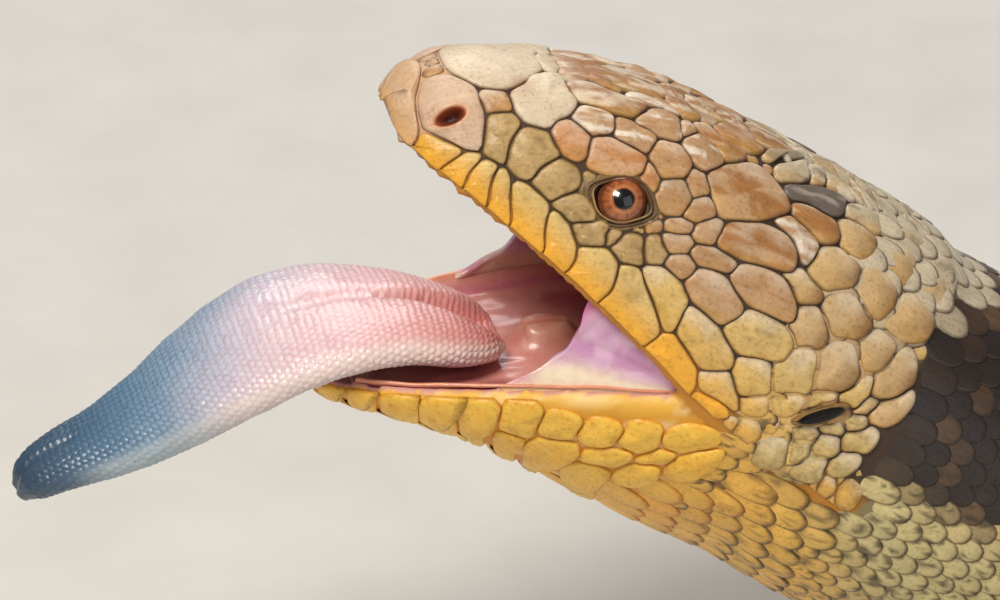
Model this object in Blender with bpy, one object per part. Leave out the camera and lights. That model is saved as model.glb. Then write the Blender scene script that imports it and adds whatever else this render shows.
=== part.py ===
"""Blue-tongued skink, life size, standing with its head raised, mouth wide open and tongue out.

Metres, +Z up. The body runs along X with the head towards -X, and the left side faces -Y. The
origin is on the floor under the middle of the model. All shapes are worked out in millimetres
and scaled to metres once, at the end.
"""

import math

import bmesh
import bpy
import numpy as np
from mathutils import Matrix, Vector

MM = 0.001
GAP = 0.3  # clearance between touching nodes

# Pose. The jaw joint is the middle point between the two hinges of the jaw.
JAW_JOINT = (0.0, 0.0, 58.0)
SKULL_PITCH = 32.5  # degrees that the upper head points above level
JAW_PITCH = -3.0  # degrees that the lower jaw points above level

# Upper head, measured forward of the jaw joint along its own axis: half width at the lips, height
# of the crown and of the upper lip over the joint, and squareness of the section.
SKULL = {
    "along": (45.9, 45.4, 44.0, 41.6, 37.5, 32.0, 26.0, 20.0, 14.0, 8.0, 0.0, -8.0, -14.0, -22.0),
    "half_width": (0.0, 2.6, 5.2, 7.6, 9.8, 11.9, 13.8, 15.6, 17.2, 18.4, 19.6, 20.0, 19.6, 16.0),
    "crown": (2.2, 4.8, 6.8, 8.9, 10.9, 12.9, 14.4, 15.3, 15.8, 16.0, 16.0, 15.6, 15.2, 12.0),
    "lip": (1.4, 0.4, -0.3, -0.6, -0.9, -1.6, -2.6, -3.9, -5.4, -7.2, -9.0, -10.0, -11.0, -9.0),
    "square": (2.0, 2.0, 2.0, 2.1, 2.2, 2.3, 2.4, 2.4, 2.3, 2.2, 2.1, 2.1, 2.1, 2.1),
}
PALATE_RISE = 3.4  # of the roof of the mouth over the lip line

# Lower jaw and throat, measured forward of the joint along the jaw's axis.
JAW = {
    "along": (47.4, 46.8, 45.0, 41.5, 37.0, 31.0, 26.0, 20.0, 14.0, 8.0, 3.0, -3.0, -12.0),
    "half_width": (0.0, 2.8, 5.4, 8.2, 10.6, 13.0, 14.6, 16.0, 17.2, 18.2, 19.0, 19.4, 16.0),
    "lip": (-0.4, 0.2, 0.5, 0.6, 0.6, 0.6, 0.4, 0.0, -0.8, -2.0, -4.0, -6.0, -10.0),
    "under": (-0.9, -2.2, -3.4, -4.8, -6.7, -9.9, -13.6, -18.2, -22.8, -26.8, -30.0, -32.6, -33.0),
}
FLOOR_DROP = 2.8  # of the floor of the mouth under the lower lip
LIP_ROUND = 0.9  # height over which a lip rounds in to its edge

# Body from the back of the skull to the tip of the tail: the middle of each section, its half
# width, and how far it reaches up and down from that middle.
BODY = {
    "x": (-5, 8.5, 22, 36, 52, 70, 92, 115, 140, 162, 182, 200, 214, 235, 262, 290, 314, 330, 337),
    "y": (0, 0, 0, 0.5, 1.5, 3.0, 5.0, 6.5, 7.0, 5.5, 3.0, 0.5, -1.0, -4, -9.5, -17, -25, -31, -34),
    "z": (53.8, 45.0, 35.8, 28.6, 24.0, 21.6, 20.0, 19.0, 18.2, 17.2, 15.4, 13.0, 11.4, 9.9, 8.3,
          6.3, 4.3, 2.7, 1.6),
    "half_width": (17.0, 20.2, 20.8, 21.2, 22.8, 26.5, 30.0, 31.0, 29.5, 26.5, 22.5, 17.0, 13.2,
                   11.6, 10.0, 7.9, 5.4, 3.2, 1.2),
    "up": (16.0, 20.0, 20.6, 20.2, 19.6, 19.6, 20.0, 20.4, 19.8, 18.4, 16.2, 14.2, 12.6, 11.2,
           9.4, 7.2, 4.9, 3.0, 1.2),
    "down": (17.0, 20.2, 20.6, 20.4, 19.8, 19.6, 20.2, 20.4, 19.6, 18.2, 16.0, 13.4, 11.8, 10.4,
             8.9, 6.9, 4.9, 3.2, 1.9),
    "square": (2.1, 2.1, 2.1, 2.1, 2.2, 2.3, 2.4, 2.4, 2.4, 2.3, 2.2, 2.1, 2.0, 2.0, 2.0, 2.0,
               2.0, 2.0, 2.0),
}
NECK_STARTS = 14.0  # along the body's middle line, where the head ends
BODY_CUTS = {"neck": 62.0, "chest": 128.0, "belly": 208.0, "tail_base": 262.0, "tail_middle": 314.0}

# Tongue: forward of the joint and above it, then half width and half thickness.
TONGUE = {
    "forward": (26.0, 27.0, 29.0, 32.0, 37.0, 42.5, 47.5, 52.5, 57.0, 62.0, 67.5, 72.0, 74.6, 75.8),
    "above": (-1.6, -1.5, -0.9, 0.0, 0.9, 1.1, 0.4, -1.2, -3.9, -7.2, -10.0, -11.7, -13.2, -14.6),
    "half_width": (3.0, 6.4, 8.6, 9.6, 10.0, 9.9, 9.6, 9.0, 8.0, 6.3, 4.8, 3.8, 2.9, 1.5),
    "half_thick": (0.8, 1.6, 2.1, 2.5, 2.7, 2.8, 2.9, 3.0, 3.0, 2.8, 2.4, 2.1, 1.7, 0.9),
}
TONGUE_ROLL = 10.0  # degrees that its near edge hangs lower
TONGUE_ROOT = {"from": 27.5, "to": 42.0, "half_width": 6.5, "above": -3.4, "half_thick": 2.6}
TONGUE_NOTCH = {"from": 22.0, "to": 34.5, "wide": 3.4}  # between the two lobes at its back

EYE_RADIUS = 3.1
EYE_DEPTH = 1.9  # of the middle of the eye under the skin
LIDS = {"half_long": 3.1, "half_high": 2.6, "radius": 0.75, "rise": 0.5}
NOSTRIL = (1.35, 0.95, 1.5)  # half length, half height and depth
EAR = (2.6, 0.85, 2.4)
GLOTTIS = {"forward": 20.5, "radii": (4.4, 2.8, 2.4)}
CHEEK = {"from": 9.5, "upper_to": 21.0, "lower_to": 29.0, "thick": 1.0, "sag": 1.6, "hollow": 0.2}

# The view from the side that the head shields are placed by: its directions, how far off it is,
# and where it sees the near hinge of the jaw. Places in it are in tenths of a millimetre, to the
# right and down, as the pixels of a frame of 1000 by 600.
VIEW = {"azimuth": 12.0, "elevation": 28.0, "distance": 430.0, "pixel": 0.1}
NEAR_HINGE = {"out": 19.0, "pixel": (790.0, 380.0)}
VIEW_MIDDLE = (500.0, 300.0)
EYE_PIXEL = (622, 200)
NOSTRIL_PIXEL = (449, 117)
EAR_PIXEL = (818, 413)

# Head shields of the near side: middle in the view, then half its reach across and down in it.
SHIELDS = {
    "nasal": (449, 113, 34, 38), "postnasal": (496, 102, 18, 11), "loreal_front": (500, 139, 18, 25),
    "loreal_back": (533, 154, 27, 26), "prefrontal": (543, 98, 34, 29),
    "labial_1": (438, 152, 26, 22), "labial_2": (460, 175, 22, 23), "labial_3": (479, 188, 20, 29),
    "labial_4": (499, 200, 13, 31), "labial_5": (529, 216, 21, 37), "labial_6": (558, 241, 18, 32),
    "labial_7": (594, 276, 26, 30), "labial_8": (626, 309, 34, 44), "labial_9": (669, 365, 30, 32),
    "preocular": (553, 180, 20, 21), "presubocular": (573, 208, 20, 16),
    "subocular": (590, 234, 18, 13), "brow_front": (571, 138, 20, 19), "brow": (617, 154, 30, 19),
    "brow_back": (652, 174, 10, 14), "over_brow_1": (593, 120, 22, 15),
    "over_brow_2": (637, 136, 21, 18), "over_brow_3": (671, 158, 22, 19),
    "supraocular": (602, 98, 38, 18), "supraocular_back": (661, 124, 21, 14),
    "temple_1": (677, 196, 18, 17), "temple_2": (699, 183, 12, 15), "temple_3": (701, 209, 17, 13),
    "temple_4": (707, 230, 17, 13), "temple_5": (712, 259, 23, 13), "temple_6": (700, 155, 22, 17),
    "under_eye_1": (625, 252, 17, 14), "under_eye_2": (655, 252, 12, 13),
    "under_eye_3": (677, 244, 15, 9), "under_eye_4": (678, 266, 15, 12),
    "cheek_1": (664, 298, 23, 33), "cheek_2": (705, 339, 29, 33), "cheek_3": (716, 298, 27, 26),
    "cheek_4": (763, 292, 29, 26), "cheek_5": (758, 338, 32, 25), "cheek_6": (752, 376, 20, 19),
    "cheek_7": (717, 388, 20, 17), "cheek_8": (788, 377, 15, 16), "cheek_9": (808, 330, 19, 26),
    "temporal_1": (748, 192, 38, 27), "temporal_2": (755, 243, 38, 24), "temporal_3": (800, 243, 20, 20),
    "crown_1": (640, 95, 30, 11), "crown_2": (700, 125, 28, 14), "crown_3": (735, 152, 26, 12),
    "crown_4": (793, 192, 24, 14), "nape_1": (800, 165, 24, 11), "nape_2": (845, 215, 24, 18),
    "side_1": (845, 258, 24, 20), "side_2": (804, 288, 16, 18), "side_3": (838, 300, 20, 20),
}
# Shields on the middle line: forward of the jaw joint, half length and half width.
MIDDLE_SHIELDS = {
    "rostral": (43.2, 1.9, 4.8), "frontonasal": (38.2, 4.6, 4.4), "frontal": (27.0, 5.6, 2.8),
    "interparietal": (15.5, 4.8, 2.8), "occipital": (6.5, 3.4, 3.4), "nuchal": (-1.0, 3.0, 4.4),
}
SHIELD = {"sides": (6, 7), "small": 2.2, "gap": 0.4, "sunk": 0.7, "edge": 0.36, "middle": 0.52,
          "top": 0.9, "reach": 1.3, "least": 1.3, "most": 5.5}

# Limbs: middle line as x, distance out from the middle plane and z, with the radius at each point.
FORELEG = ((46, 8, 25, 8.6), (50, 20, 23, 8.0), (55, 29, 19.5, 6.6), (56, 34, 15, 5.8),
           (51, 38, 10.5, 5.2), (45, 41, 6.6, 4.4))
HINDLEG = ((186, 8, 17, 9.0), (181, 20, 17, 8.6), (175, 30, 16, 7.2), (174, 36, 12.6, 6.2),
           (181, 41, 8.6, 5.4), (188, 45, 6.0, 4.5))
FOREFOOT = {"ahead": (-0.80, 0.60), "palm": 9.0, "half_width": 4.8, "toes": (5.4, 7.4, 8.4, 7.6, 5.6)}
HINDFOOT = {"ahead": (-0.62, 0.78), "palm": 11.0, "half_width": 5.0, "toes": (5.2, 7.2, 8.8, 9.6, 6.4)}
TOE_SPREAD = (-58, -30, -6, 18, 46)  # degrees from the way that the foot points
TOE_RADIUS = 1.6
TOE_SIDES = 5
CLAW_LENGTH = 2.8
CLAW_SECTIONS = ((0.0, 0.75, 1.5), (0.5, 0.5, 1.3), (1.0, 0.1, 0.4))
PALM_SECTIONS = ((-0.42, 0.45, 3.2), (-0.3, 0.78, 5.2), (0.0, 0.92, 6.4), (0.35, 0.98, 5.2),
                 (0.7, 1.0, 4.0), (0.92, 0.92, 3.2), (1.02, 0.6, 2.4))
STRIDE = {"foreleg_left": 0.0, "foreleg_right": 7.0, "hindleg_left": 4.0, "hindleg_right": -6.0}

COLOURS = {
    "skin": ((0.36, 0.25, 0.15, 1.0), 0.55),
    "throat": ((0.75, 0.48, 0.12, 1.0), 0.45),
    "tongue": ((0.16, 0.21, 0.33, 1.0), 0.35),
    "eye": ((0.25, 0.10, 0.04, 1.0), 0.1),
    "mouth": ((0.72, 0.40, 0.42, 1.0), 0.3),
}


def smooth(along, values, at):
    """Values read at any place along the stations, on a smooth curve with no overshoot."""
    x = np.asarray(along, float)
    y = np.asarray(values, float)
    if x[0] > x[-1]:
        x, y = x[::-1], y[::-1]
    step = np.diff(x)
    slope = np.diff(y) / step
    tangent = np.empty_like(y)
    tangent[0], tangent[-1] = slope[0], slope[-1]
    same_way = slope[:-1] * slope[1:] > 0
    share = (2 * step[1:] + step[:-1], step[1:] + 2 * step[:-1])
    with np.errstate(divide="ignore", invalid="ignore"):
        mean = (share[0] + share[1]) / (share[0] / slope[:-1] + share[1] / slope[1:])
    tangent[1:-1] = np.where(same_way, mean, 0.0)
    at = np.clip(np.asarray(at, float), x[0], x[-1])
    i = np.clip(np.searchsorted(x, at, side="right") - 1, 0, len(step) - 1)
    t = (at - x[i]) / step[i]
    a = (1 + 2 * t) * (1 - t) ** 2 * y[i] + t * (1 - t) ** 2 * step[i] * tangent[i]
    b = t**2 * (3 - 2 * t) * y[i + 1] + t**2 * (t - 1) * step[i] * tangent[i + 1]
    return a + b


def read(table, key, at):
    """All the values of a table at one place along it."""
    return {name: float(smooth(table[key], values, at)) for name, values in table.items()}


def frame_of(pitch):
    """Forward, left and up of a head part that points towards -X, pitched up by some degrees."""
    a = math.radians(pitch)
    forward = np.array((-math.cos(a), 0.0, math.sin(a)))
    left = np.array((0.0, -1.0, 0.0))
    up = np.array((math.sin(a), 0.0, math.cos(a)))
    return np.array((forward, left, up))


SKULL_FRAME = frame_of(SKULL_PITCH)
JAW_FRAME = frame_of(JAW_PITCH)


def placed(points, frame, origin=JAW_JOINT):
    """Points given as forward, left, up in a frame, in the model's own axes."""
    return np.asarray(points, float) @ frame + np.asarray(origin)


def power(value, exponent):
    return np.sign(value) * np.abs(value) ** exponent


def mesh_from(name, verts, faces):
    mesh = bpy.data.meshes.new(name)
    mesh.from_pydata([tuple(v) for v in verts], [], [tuple(f) for f in faces])
    obj = bpy.data.objects.new(name, mesh)
    bpy.context.scene.collection.objects.link(obj)
    return obj


def face_out(obj):
    """Splits a closed mesh into triangles that face outwards."""
    made = bmesh.new()
    made.from_mesh(obj.data)
    bmesh.ops.triangulate(made, faces=made.faces)
    bmesh.ops.recalc_face_normals(made, faces=made.faces)
    if made.calc_volume(signed=True) < 0:
        bmesh.ops.reverse_faces(made, faces=made.faces)
    made.to_mesh(obj.data)
    made.free()
    return obj


def loft(name, rings):
    """A closed body through rings of equal count, with a flat face over each end."""
    rings = np.asarray(rings)
    count, around = rings.shape[:2]
    faces = [tuple(range(around)), tuple(range((count - 1) * around, count * around))]
    for i in range(count - 1):
        for j in range(around):
            k = (j + 1) % around
            a, b = i * around, (i + 1) * around
            faces.append((a + j, a + k, b + k, b + j))
    return face_out(mesh_from(name, rings.reshape(-1, 3), faces))


def boolean(obj, others, operation, solver="EXACT"):
    """Joins or cuts an object with a group of closed meshes, which are then removed."""
    group = bpy.data.collections.new("group")
    bpy.context.scene.collection.children.link(group)
    for other in others:
        group.objects.link(other)
    step = obj.modifiers.new(operation.lower(), "BOOLEAN")
    step.operation = operation
    step.operand_type = "COLLECTION"
    step.collection = group
    step.solver = solver
    bpy.context.view_layer.update()
    ready = obj.evaluated_get(bpy.context.evaluated_depsgraph_get())
    made = bpy.data.meshes.new_from_object(ready)
    obj.modifiers.clear()
    obj.data = made
    for other in others:
        bpy.data.objects.remove(other)
    bpy.data.collections.remove(group)
    return obj


def surfaces(obj):
    """The closed surfaces of a mesh, as lists of face numbers, largest box first."""
    mesh = obj.data
    parent = list(range(len(mesh.vertices)))

    def root(i):
        while parent[i] != i:
            parent[i] = parent[parent[i]]
            i = parent[i]
        return i

    for edge in mesh.edges:
        a, b = (root(i) for i in edge.vertices)
        parent[a] = b
    groups = {}
    for face in mesh.polygons:
        groups.setdefault(root(face.vertices[0]), []).append(face.index)
    places = np.array([v.co for v in mesh.vertices])

    def extent(faces):
        used = places[[i for f in faces for i in mesh.polygons[f].vertices]]
        return float(np.prod(np.ptp(used, axis=0)))

    return sorted(groups.values(), key=extent, reverse=True)


def keep_surface(obj, faces, name):
    """A new object that holds only some faces of another."""
    mesh = obj.data
    used = sorted({i for f in faces for i in mesh.polygons[f].vertices})
    new = {old: i for i, old in enumerate(used)}
    verts = [mesh.vertices[i].co for i in used]
    return mesh_from(name, verts, [[new[i] for i in mesh.polygons[f].vertices] for f in faces])


def keep_largest(obj):
    groups = surfaces(obj)
    if len(groups) > 1:
        kept = keep_surface(obj, groups[0], "kept")
        obj.data = kept.data
        bpy.data.objects.remove(kept)
    return obj


def rest_on_floor(obj):
    """Flattens what would reach under the floor."""
    for vertex in obj.data.vertices:
        vertex.co.z = max(vertex.co.z, 0.0)


def cut_at_floor(obj):
    """Cuts off what would reach under the floor."""
    boolean(obj, [slab("under", (obj.data.vertices[0].co.x, obj.data.vertices[0].co.y, -10.0),
                       (0, 1, 0), (0, 0, 1), 120, 120, 20.0)], "DIFFERENCE")


def mouth_side(wide, edge, depth, side, grow):
    """The inner line of a half of the mouth, from the right lip to the left one."""
    line = [(0.95 * wide, edge)]
    for share, drop in ((0.86, 0.25), (0.75, 0.7), (0.4, 0.97), (0.0, 1.0)):
        line.append((max(share * wide - grow, 0.0), edge + side * drop * depth))
    return [(-y, z) for y, z in line] + [(y, z) for y, z in reversed(line[:-1])]


def head_ring(table, frame, along, grow=0.0, count=19):
    """Section of the skull or of the lower jaw, round its outside and back along the mouth."""
    size = read(table, "along", along)
    wide, lip = size["half_width"], size["lip"]
    if table is SKULL:
        far, sign, most, exponent = size["crown"] + grow, 1, PALATE_RISE, 2 / size["square"]
    else:
        far, sign, most, exponent = size["under"] - grow, -1, FLOOR_DROP, 1.0
    tall = abs(far - lip)
    rim = lip + sign * min(LIP_ROUND, 0.3 * tall)
    depth = min(most, 0.5 * tall)
    edge = lip - sign * grow
    turn = np.linspace(-math.pi / 2, math.pi / 2, count)
    side = -power(np.sin(turn), exponent) * (wide + grow)
    height = rim + (far - rim) * np.abs(np.cos(turn)) ** exponent
    inner = mouth_side(wide, edge, depth, sign, grow)
    section = np.vstack((np.column_stack((side, height)), inner))
    return placed(np.column_stack((np.full(len(section), along), section)), frame)


def head_stations(table, tip, close, far, count):
    """Places along a head part: closer together at its tip."""
    start = table["along"][0] - tip
    near_tip = start + (close - start) * np.linspace(0, 1, 5)[:-1] ** 2
    return np.concatenate((near_tip, np.linspace(close, far, count)))


def skull(name, grow=0.0):
    stations = head_stations(SKULL, 0.12, 42.0, -21.5, 16)
    return loft(name, [head_ring(SKULL, SKULL_FRAME, x, grow) for x in stations])


def jaw(name, grow=0.0):
    stations = head_stations(JAW, 0.15, 43.0, -11.5, 14)
    return loft(name, [head_ring(JAW, JAW_FRAME, x, grow) for x in stations])


def body_line():
    points = np.column_stack([BODY[key] for key in ("x", "y", "z")]).astype(float)
    run = np.concatenate(([0.0], np.cumsum(np.linalg.norm(np.diff(points, axis=0), axis=1))))
    return points, run


def body_at(at):
    """Middle of the body at a distance along it, its left, up and back, and its sizes there."""
    points, run = body_line()

    def spot(place):
        return np.array([float(smooth(run, points[:, i], place)) for i in range(3)])

    back = spot(min(at + 0.5, run[-1])) - spot(max(at - 0.5, 0.0))
    back /= np.linalg.norm(back)
    left = np.cross(np.array((0.0, 0.0, 1.0)), -back)
    left /= np.linalg.norm(left)
    up = np.cross(-back, left)
    keys = ("half_width", "up", "down", "square")
    return spot(at), left, up, back, {key: float(smooth(run, BODY[key], at)) for key in keys}


def body_ring(at, count=24, grow=0.0):
    spot, left, up, _, size = body_at(at)
    turn = np.linspace(0, 2 * math.pi, count, endpoint=False)
    side = power(np.sin(turn), 2 / size["square"]) * (size["half_width"] + grow)
    rise = power(np.cos(turn), 2 / size["square"])
    rise = np.where(rise > 0, rise * (size["up"] + grow), rise * (size["down"] + grow))
    return spot + np.outer(side, left) + np.outer(rise, up)


def body_length(name, start, end, spacing=6.0, grow=0.0, count=24):
    steps = max(3, int(round((end - start) / spacing)) + 1)
    return loft(name, [body_ring(s, count, grow) for s in np.linspace(start, end, steps)])


def slab(name, middle, across, normal, length, width, thick=GAP):
    """A thin plate that parts one solid from another."""
    normal = np.asarray(normal, float) / np.linalg.norm(normal)
    across = np.asarray(across, float) / np.linalg.norm(across)
    along = np.cross(normal, across)
    verts = []
    for n in (-thick / 2, thick / 2):
        for u, v in ((-1, -1), (1, -1), (1, 1), (-1, 1)):
            verts.append(np.asarray(middle) + n * normal + u * length / 2 * along + v * width / 2 * across)
    faces = [(0, 1, 2, 3), (7, 6, 5, 4), (0, 4, 5, 1), (1, 5, 6, 2), (2, 6, 7, 3), (3, 7, 4, 0)]
    return face_out(mesh_from(name, verts, faces))


class HeadSurface:
    """The near half of the skull's outside, laid flat: forward along it, and round from the crown."""

    def __init__(self):
        self.forward = np.linspace(-13.0, SKULL["along"][0] - 0.1, 120)
        self.columns = 49
        rows = []
        self.girth = []
        for along in self.forward:
            ring = head_ring(SKULL, SKULL_FRAME, along, count=97)[:97]
            half = ring[48::-1]
            arc = np.concatenate(([0.0], np.cumsum(np.linalg.norm(np.diff(half, axis=0), axis=1))))
            even = np.linspace(0.0, arc[-1], self.columns)
            rows.append(np.column_stack([np.interp(even, arc, half[:, i]) for i in range(3)]))
            self.girth.append(arc[-1])
        self.points = np.array(rows)
        self.girth = np.array(self.girth)

    def at(self, forward, round_from_crown, rise=0.0):
        """The place at a distance forward and round from the crown, raised off the skin."""
        side = -1.0 if round_from_crown < 0 else 1.0
        place = self.raw(forward, abs(round_from_crown))
        step = 0.4
        ahead = self.raw(forward + step, abs(round_from_crown)) - self.raw(forward - step, abs(round_from_crown))
        down = self.raw(forward, abs(round_from_crown) + step) - self.raw(forward, abs(round_from_crown) - step)
        out = np.cross(ahead, down)
        length = np.linalg.norm(out)
        out = out / length if length > 1e-9 else np.array((0.0, 0.0, 1.0))
        place = place + rise * out
        place[1] *= side
        out[1] *= side
        return place, out

    def raw(self, forward, round_from_crown):
        row = np.clip(np.interp(forward, self.forward, np.arange(len(self.forward))), 0, None)
        low = min(int(row), len(self.forward) - 2)
        share = row - low
        girth = (1 - share) * self.girth[low] + share * self.girth[low + 1]
        mirror = -1.0 if round_from_crown < 0 else 1.0
        column = min(abs(round_from_crown) / girth, 1.0) * (self.columns - 1)
        left = min(int(column), self.columns - 2)
        part = column - left
        four = self.points[low:low + 2, left:left + 2]
        place = ((1 - share) * ((1 - part) * four[0, 0] + part * four[0, 1])
                 + share * ((1 - part) * four[1, 0] + part * four[1, 1]))
        return place * np.array((1.0, mirror, 1.0))

    def seen(self):
        """Where the view sees each point of the surface."""
        azimuth, elevation = math.radians(VIEW["azimuth"]), math.radians(VIEW["elevation"])
        right = np.array((math.cos(azimuth), -math.sin(azimuth), 0.0))
        towards = np.array((-math.sin(azimuth) * math.cos(elevation),
                            -math.cos(azimuth) * math.cos(elevation), math.sin(elevation)))
        up = np.cross(towards, right)
        hinge = np.array(JAW_JOINT) + (0.0, -NEAR_HINGE["out"], 0.0)
        offset = (np.array(NEAR_HINGE["pixel"]) - VIEW_MIDDLE) * VIEW["pixel"]
        away = self.points - (hinge - right * offset[0] + up * offset[1])
        scale = VIEW["distance"] / (VIEW["distance"] - away @ towards) / VIEW["pixel"]
        return np.stack((VIEW_MIDDLE[0] + away @ right * scale, VIEW_MIDDLE[1] - away @ up * scale), -1)

    def find(self, pixel):
        """Forward and round from the crown of a place in the view, and what a step of each does."""
        seen = self.seen()
        miss = np.hypot(*(seen - np.array(pixel, float)).transpose(2, 0, 1))
        row, column = np.unravel_index(np.argmin(miss), miss.shape)
        row = int(np.clip(row, 1, len(self.forward) - 2))
        column = int(np.clip(column, 1, self.columns - 2))
        spacing = self.girth[row] / (self.columns - 1)
        ahead = (seen[row + 1, column] - seen[row - 1, column]) / (self.forward[row + 1] - self.forward[row - 1])
        down = (seen[row, column + 1] - seen[row, column - 1]) / (2 * spacing)
        return self.forward[row], column * spacing, ahead, down


def shield_seeds(surface):
    """Middle and half sizes of every shield, on the near side, then the far side and the middle."""
    near = []
    for x, y, across, tall in SHIELDS.values():
        forward, round_from_crown, ahead, down = surface.find((x, y))
        mix = np.array((ahead**2, down**2)).T
        square = np.linalg.lstsq(mix, np.array((across**2, tall**2)), rcond=None)[0]
        half = np.sqrt(np.clip(square, SHIELD["least"]**2, SHIELD["most"]**2))
        near.append((forward, round_from_crown, half[0], half[1]))
    far = [(f, -g, a, b) for f, g, a, b in near]
    middle = [(f, 0.0, a, b) for f, a, b in MIDDLE_SHIELDS.values()]
    forward, round_from_crown, _, _ = surface.find(EYE_PIXEL)
    eye = (forward, round_from_crown, LIDS["half_long"] + 0.9, LIDS["half_high"] + 0.9)
    return near, np.array(near + far + middle + [eye])


def shield_outline(surface, seed, others):
    """Corners of a shield's cell, half way in its own measure to those around it."""
    middle, half = seed[:2], seed[2:]
    corners = []
    sides = SHIELD["sides"][0 if math.sqrt(half[0] * half[1]) < SHIELD["small"] else 1]
    for turn in np.linspace(0, 2 * math.pi, sides, endpoint=False) + 0.3:
        way = np.array((math.cos(turn), math.sin(turn))) * half
        steps = np.linspace(0.3, SHIELD["reach"], 60)
        places = middle + np.outer(steps, way)
        to_others = np.linalg.norm((places[:, None] - others[:, :2]) / others[:, 2:], axis=2).min(1)
        inside = np.nonzero(to_others < steps)[0]
        step = steps[inside[0]] if len(inside) else steps[-1]
        reach = np.linalg.norm(way)
        corner = middle + way * max(step - 0.5 * SHIELD["gap"] / reach, 0.25)
        most = np.interp(corner[0], surface.forward, surface.girth) - 0.3
        corners.append(np.array((min(corner[0], surface.forward[-1] - 1.2), np.clip(corner[1], -most, most))))
    return corners


def shield_plate(surface, corners, side):
    """A plate that stands on the skin, with its root sunk in it."""
    sides = len(corners)
    middle = np.mean(corners, axis=0)

    def put(place, rise):
        return surface.at(place[0], place[1], rise)[0] * (1.0, side, 1.0)

    low = [put(corner, -SHIELD["sunk"]) for corner in corners]
    high = [put(middle + (corner - middle) * SHIELD["top"], SHIELD["edge"]) for corner in corners]
    verts = [*low, *high, put(middle, -SHIELD["sunk"]), put(middle, SHIELD["middle"])]
    faces = []
    for i in range(sides):
        k = (i + 1) % sides
        faces += [(i, k, sides + k, sides + i), (2 * sides, k, i), (2 * sides + 1, sides + i, sides + k)]
    return face_out(mesh_from("plate", verts, faces))


def make_shields(surface):
    near, seeds = shield_seeds(surface)
    plates = []
    for i in list(range(len(near))) + list(range(2 * len(near), len(seeds) - 1)):
        others = np.delete(seeds, i, axis=0)
        corners = shield_outline(surface, seeds[i], others)
        for side in (1.0, -1.0) if i < len(near) else (1.0,):
            plates.append(shield_plate(surface, corners, side))
    return plates


def squashed_ball(name, place, axes, radii, across=12, rings=8):
    """A ball with three radii along three given ways."""
    obj = ball(name, (0, 0, 0), 1.0, across, rings)
    turn = Matrix([[axes[j][i] * radii[j] for j in range(3)] for i in range(3)]).to_4x4()
    obj.data.transform(Matrix.Translation(Vector(place)) @ turn)
    return face_out(obj)


def skin_axes(surface, pixel):
    """Place on the skin of a point in the view, with the ways forward, down and out there."""
    forward, round_from_crown, _, _ = surface.find(pixel)
    place, out = surface.at(forward, round_from_crown)
    ahead = surface.at(forward + 0.5, round_from_crown)[0] - surface.at(forward - 0.5, round_from_crown)[0]
    ahead -= out * np.dot(ahead, out)
    ahead /= np.linalg.norm(ahead)
    return place, (ahead, np.cross(out, ahead), out)


def mirrored(place, axes, side):
    """The same place and ways on the other side of the head."""
    flip = np.array((1.0, side, 1.0))
    return place * flip, [way * flip for way in axes]


def lid_ring(surface, side):
    """The two lids as one rim round the eye, pointed at its front and back."""
    place, axes = skin_axes(surface, EYE_PIXEL)
    place, axes = mirrored(place, axes, side)
    around, tube = 18, 4
    verts = []
    for turn in np.linspace(0, 2 * math.pi, around, endpoint=False):
        along = math.cos(turn) * LIDS["half_long"]
        high = power(math.sin(turn), 1.15) * LIDS["half_high"]
        spot = place + axes[0] * along + axes[1] * high + axes[2] * LIDS["rise"]
        spot = spot - axes[2] * 0.04 * (along**2 + high**2)
        away = axes[0] * math.cos(turn) + axes[1] * math.sin(turn)
        for lap in np.linspace(0, 2 * math.pi, tube, endpoint=False):
            verts.append(spot + LIDS["radius"] * (away * math.cos(lap) + axes[2] * math.sin(lap)))
    faces = []
    for i in range(around):
        for j in range(tube):
            a, b = i * tube, (i + 1) % around * tube
            k = (j + 1) % tube
            faces.append((a + j, b + j, b + k, a + k))
    return face_out(mesh_from("lids", verts, faces))


def cheek_sheet(name, side):
    """The web of skin that stretches between the lips in front of the corner of the mouth."""
    along, down = 5, 6
    sheet = []
    for t in np.linspace(0, 1, down):
        for s in np.linspace(0, 1, along) * (1 - CHEEK["hollow"] * math.sin(math.pi * t)):
            upper_at = CHEEK["from"] + s * (CHEEK["upper_to"] - CHEEK["from"])
            lower_at = CHEEK["from"] + s * (CHEEK["lower_to"] - CHEEK["from"])
            up = read(SKULL, "along", upper_at)
            low = read(JAW, "along", lower_at)
            upper = placed((upper_at, 0.88 * up["half_width"], up["lip"] + 0.8), SKULL_FRAME)
            lower = placed((lower_at, 0.88 * low["half_width"], low["lip"] - 0.8), JAW_FRAME)
            spot = upper + (lower - upper) * t
            spot[1] += CHEEK["sag"] * math.sin(math.pi * t) * s
            sheet.append(spot * (1.0, side, 1.0))
    sheet = np.array(sheet)
    inward = np.array((0.0, side * CHEEK["thick"] / 2, 0.0))
    verts = np.vstack((sheet + inward, sheet - inward))
    faces = []
    for i in range(down - 1):
        for j in range(along - 1):
            a = i * along + j
            faces += [(a, a + 1, a + along), (a + 1, a + along + 1, a + along)]
    faces += [tuple(v + down * along for v in reversed(face)) for face in faces]
    rim = list(range(along))
    rim += [i * along + along - 1 for i in range(1, down)]
    rim += [(down - 1) * along + j for j in range(along - 2, -1, -1)]
    rim += [i * along for i in range(down - 2, 0, -1)]
    for i, a in enumerate(rim):
        b = rim[(i + 1) % len(rim)]
        faces.append((a, a + down * along, b + down * along, b))
    obj = face_out(mesh_from(name, verts, faces))
    boolean(obj, [skull("clear", GAP), jaw("clear", GAP)], "DIFFERENCE")
    return keep_largest(obj)


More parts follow.
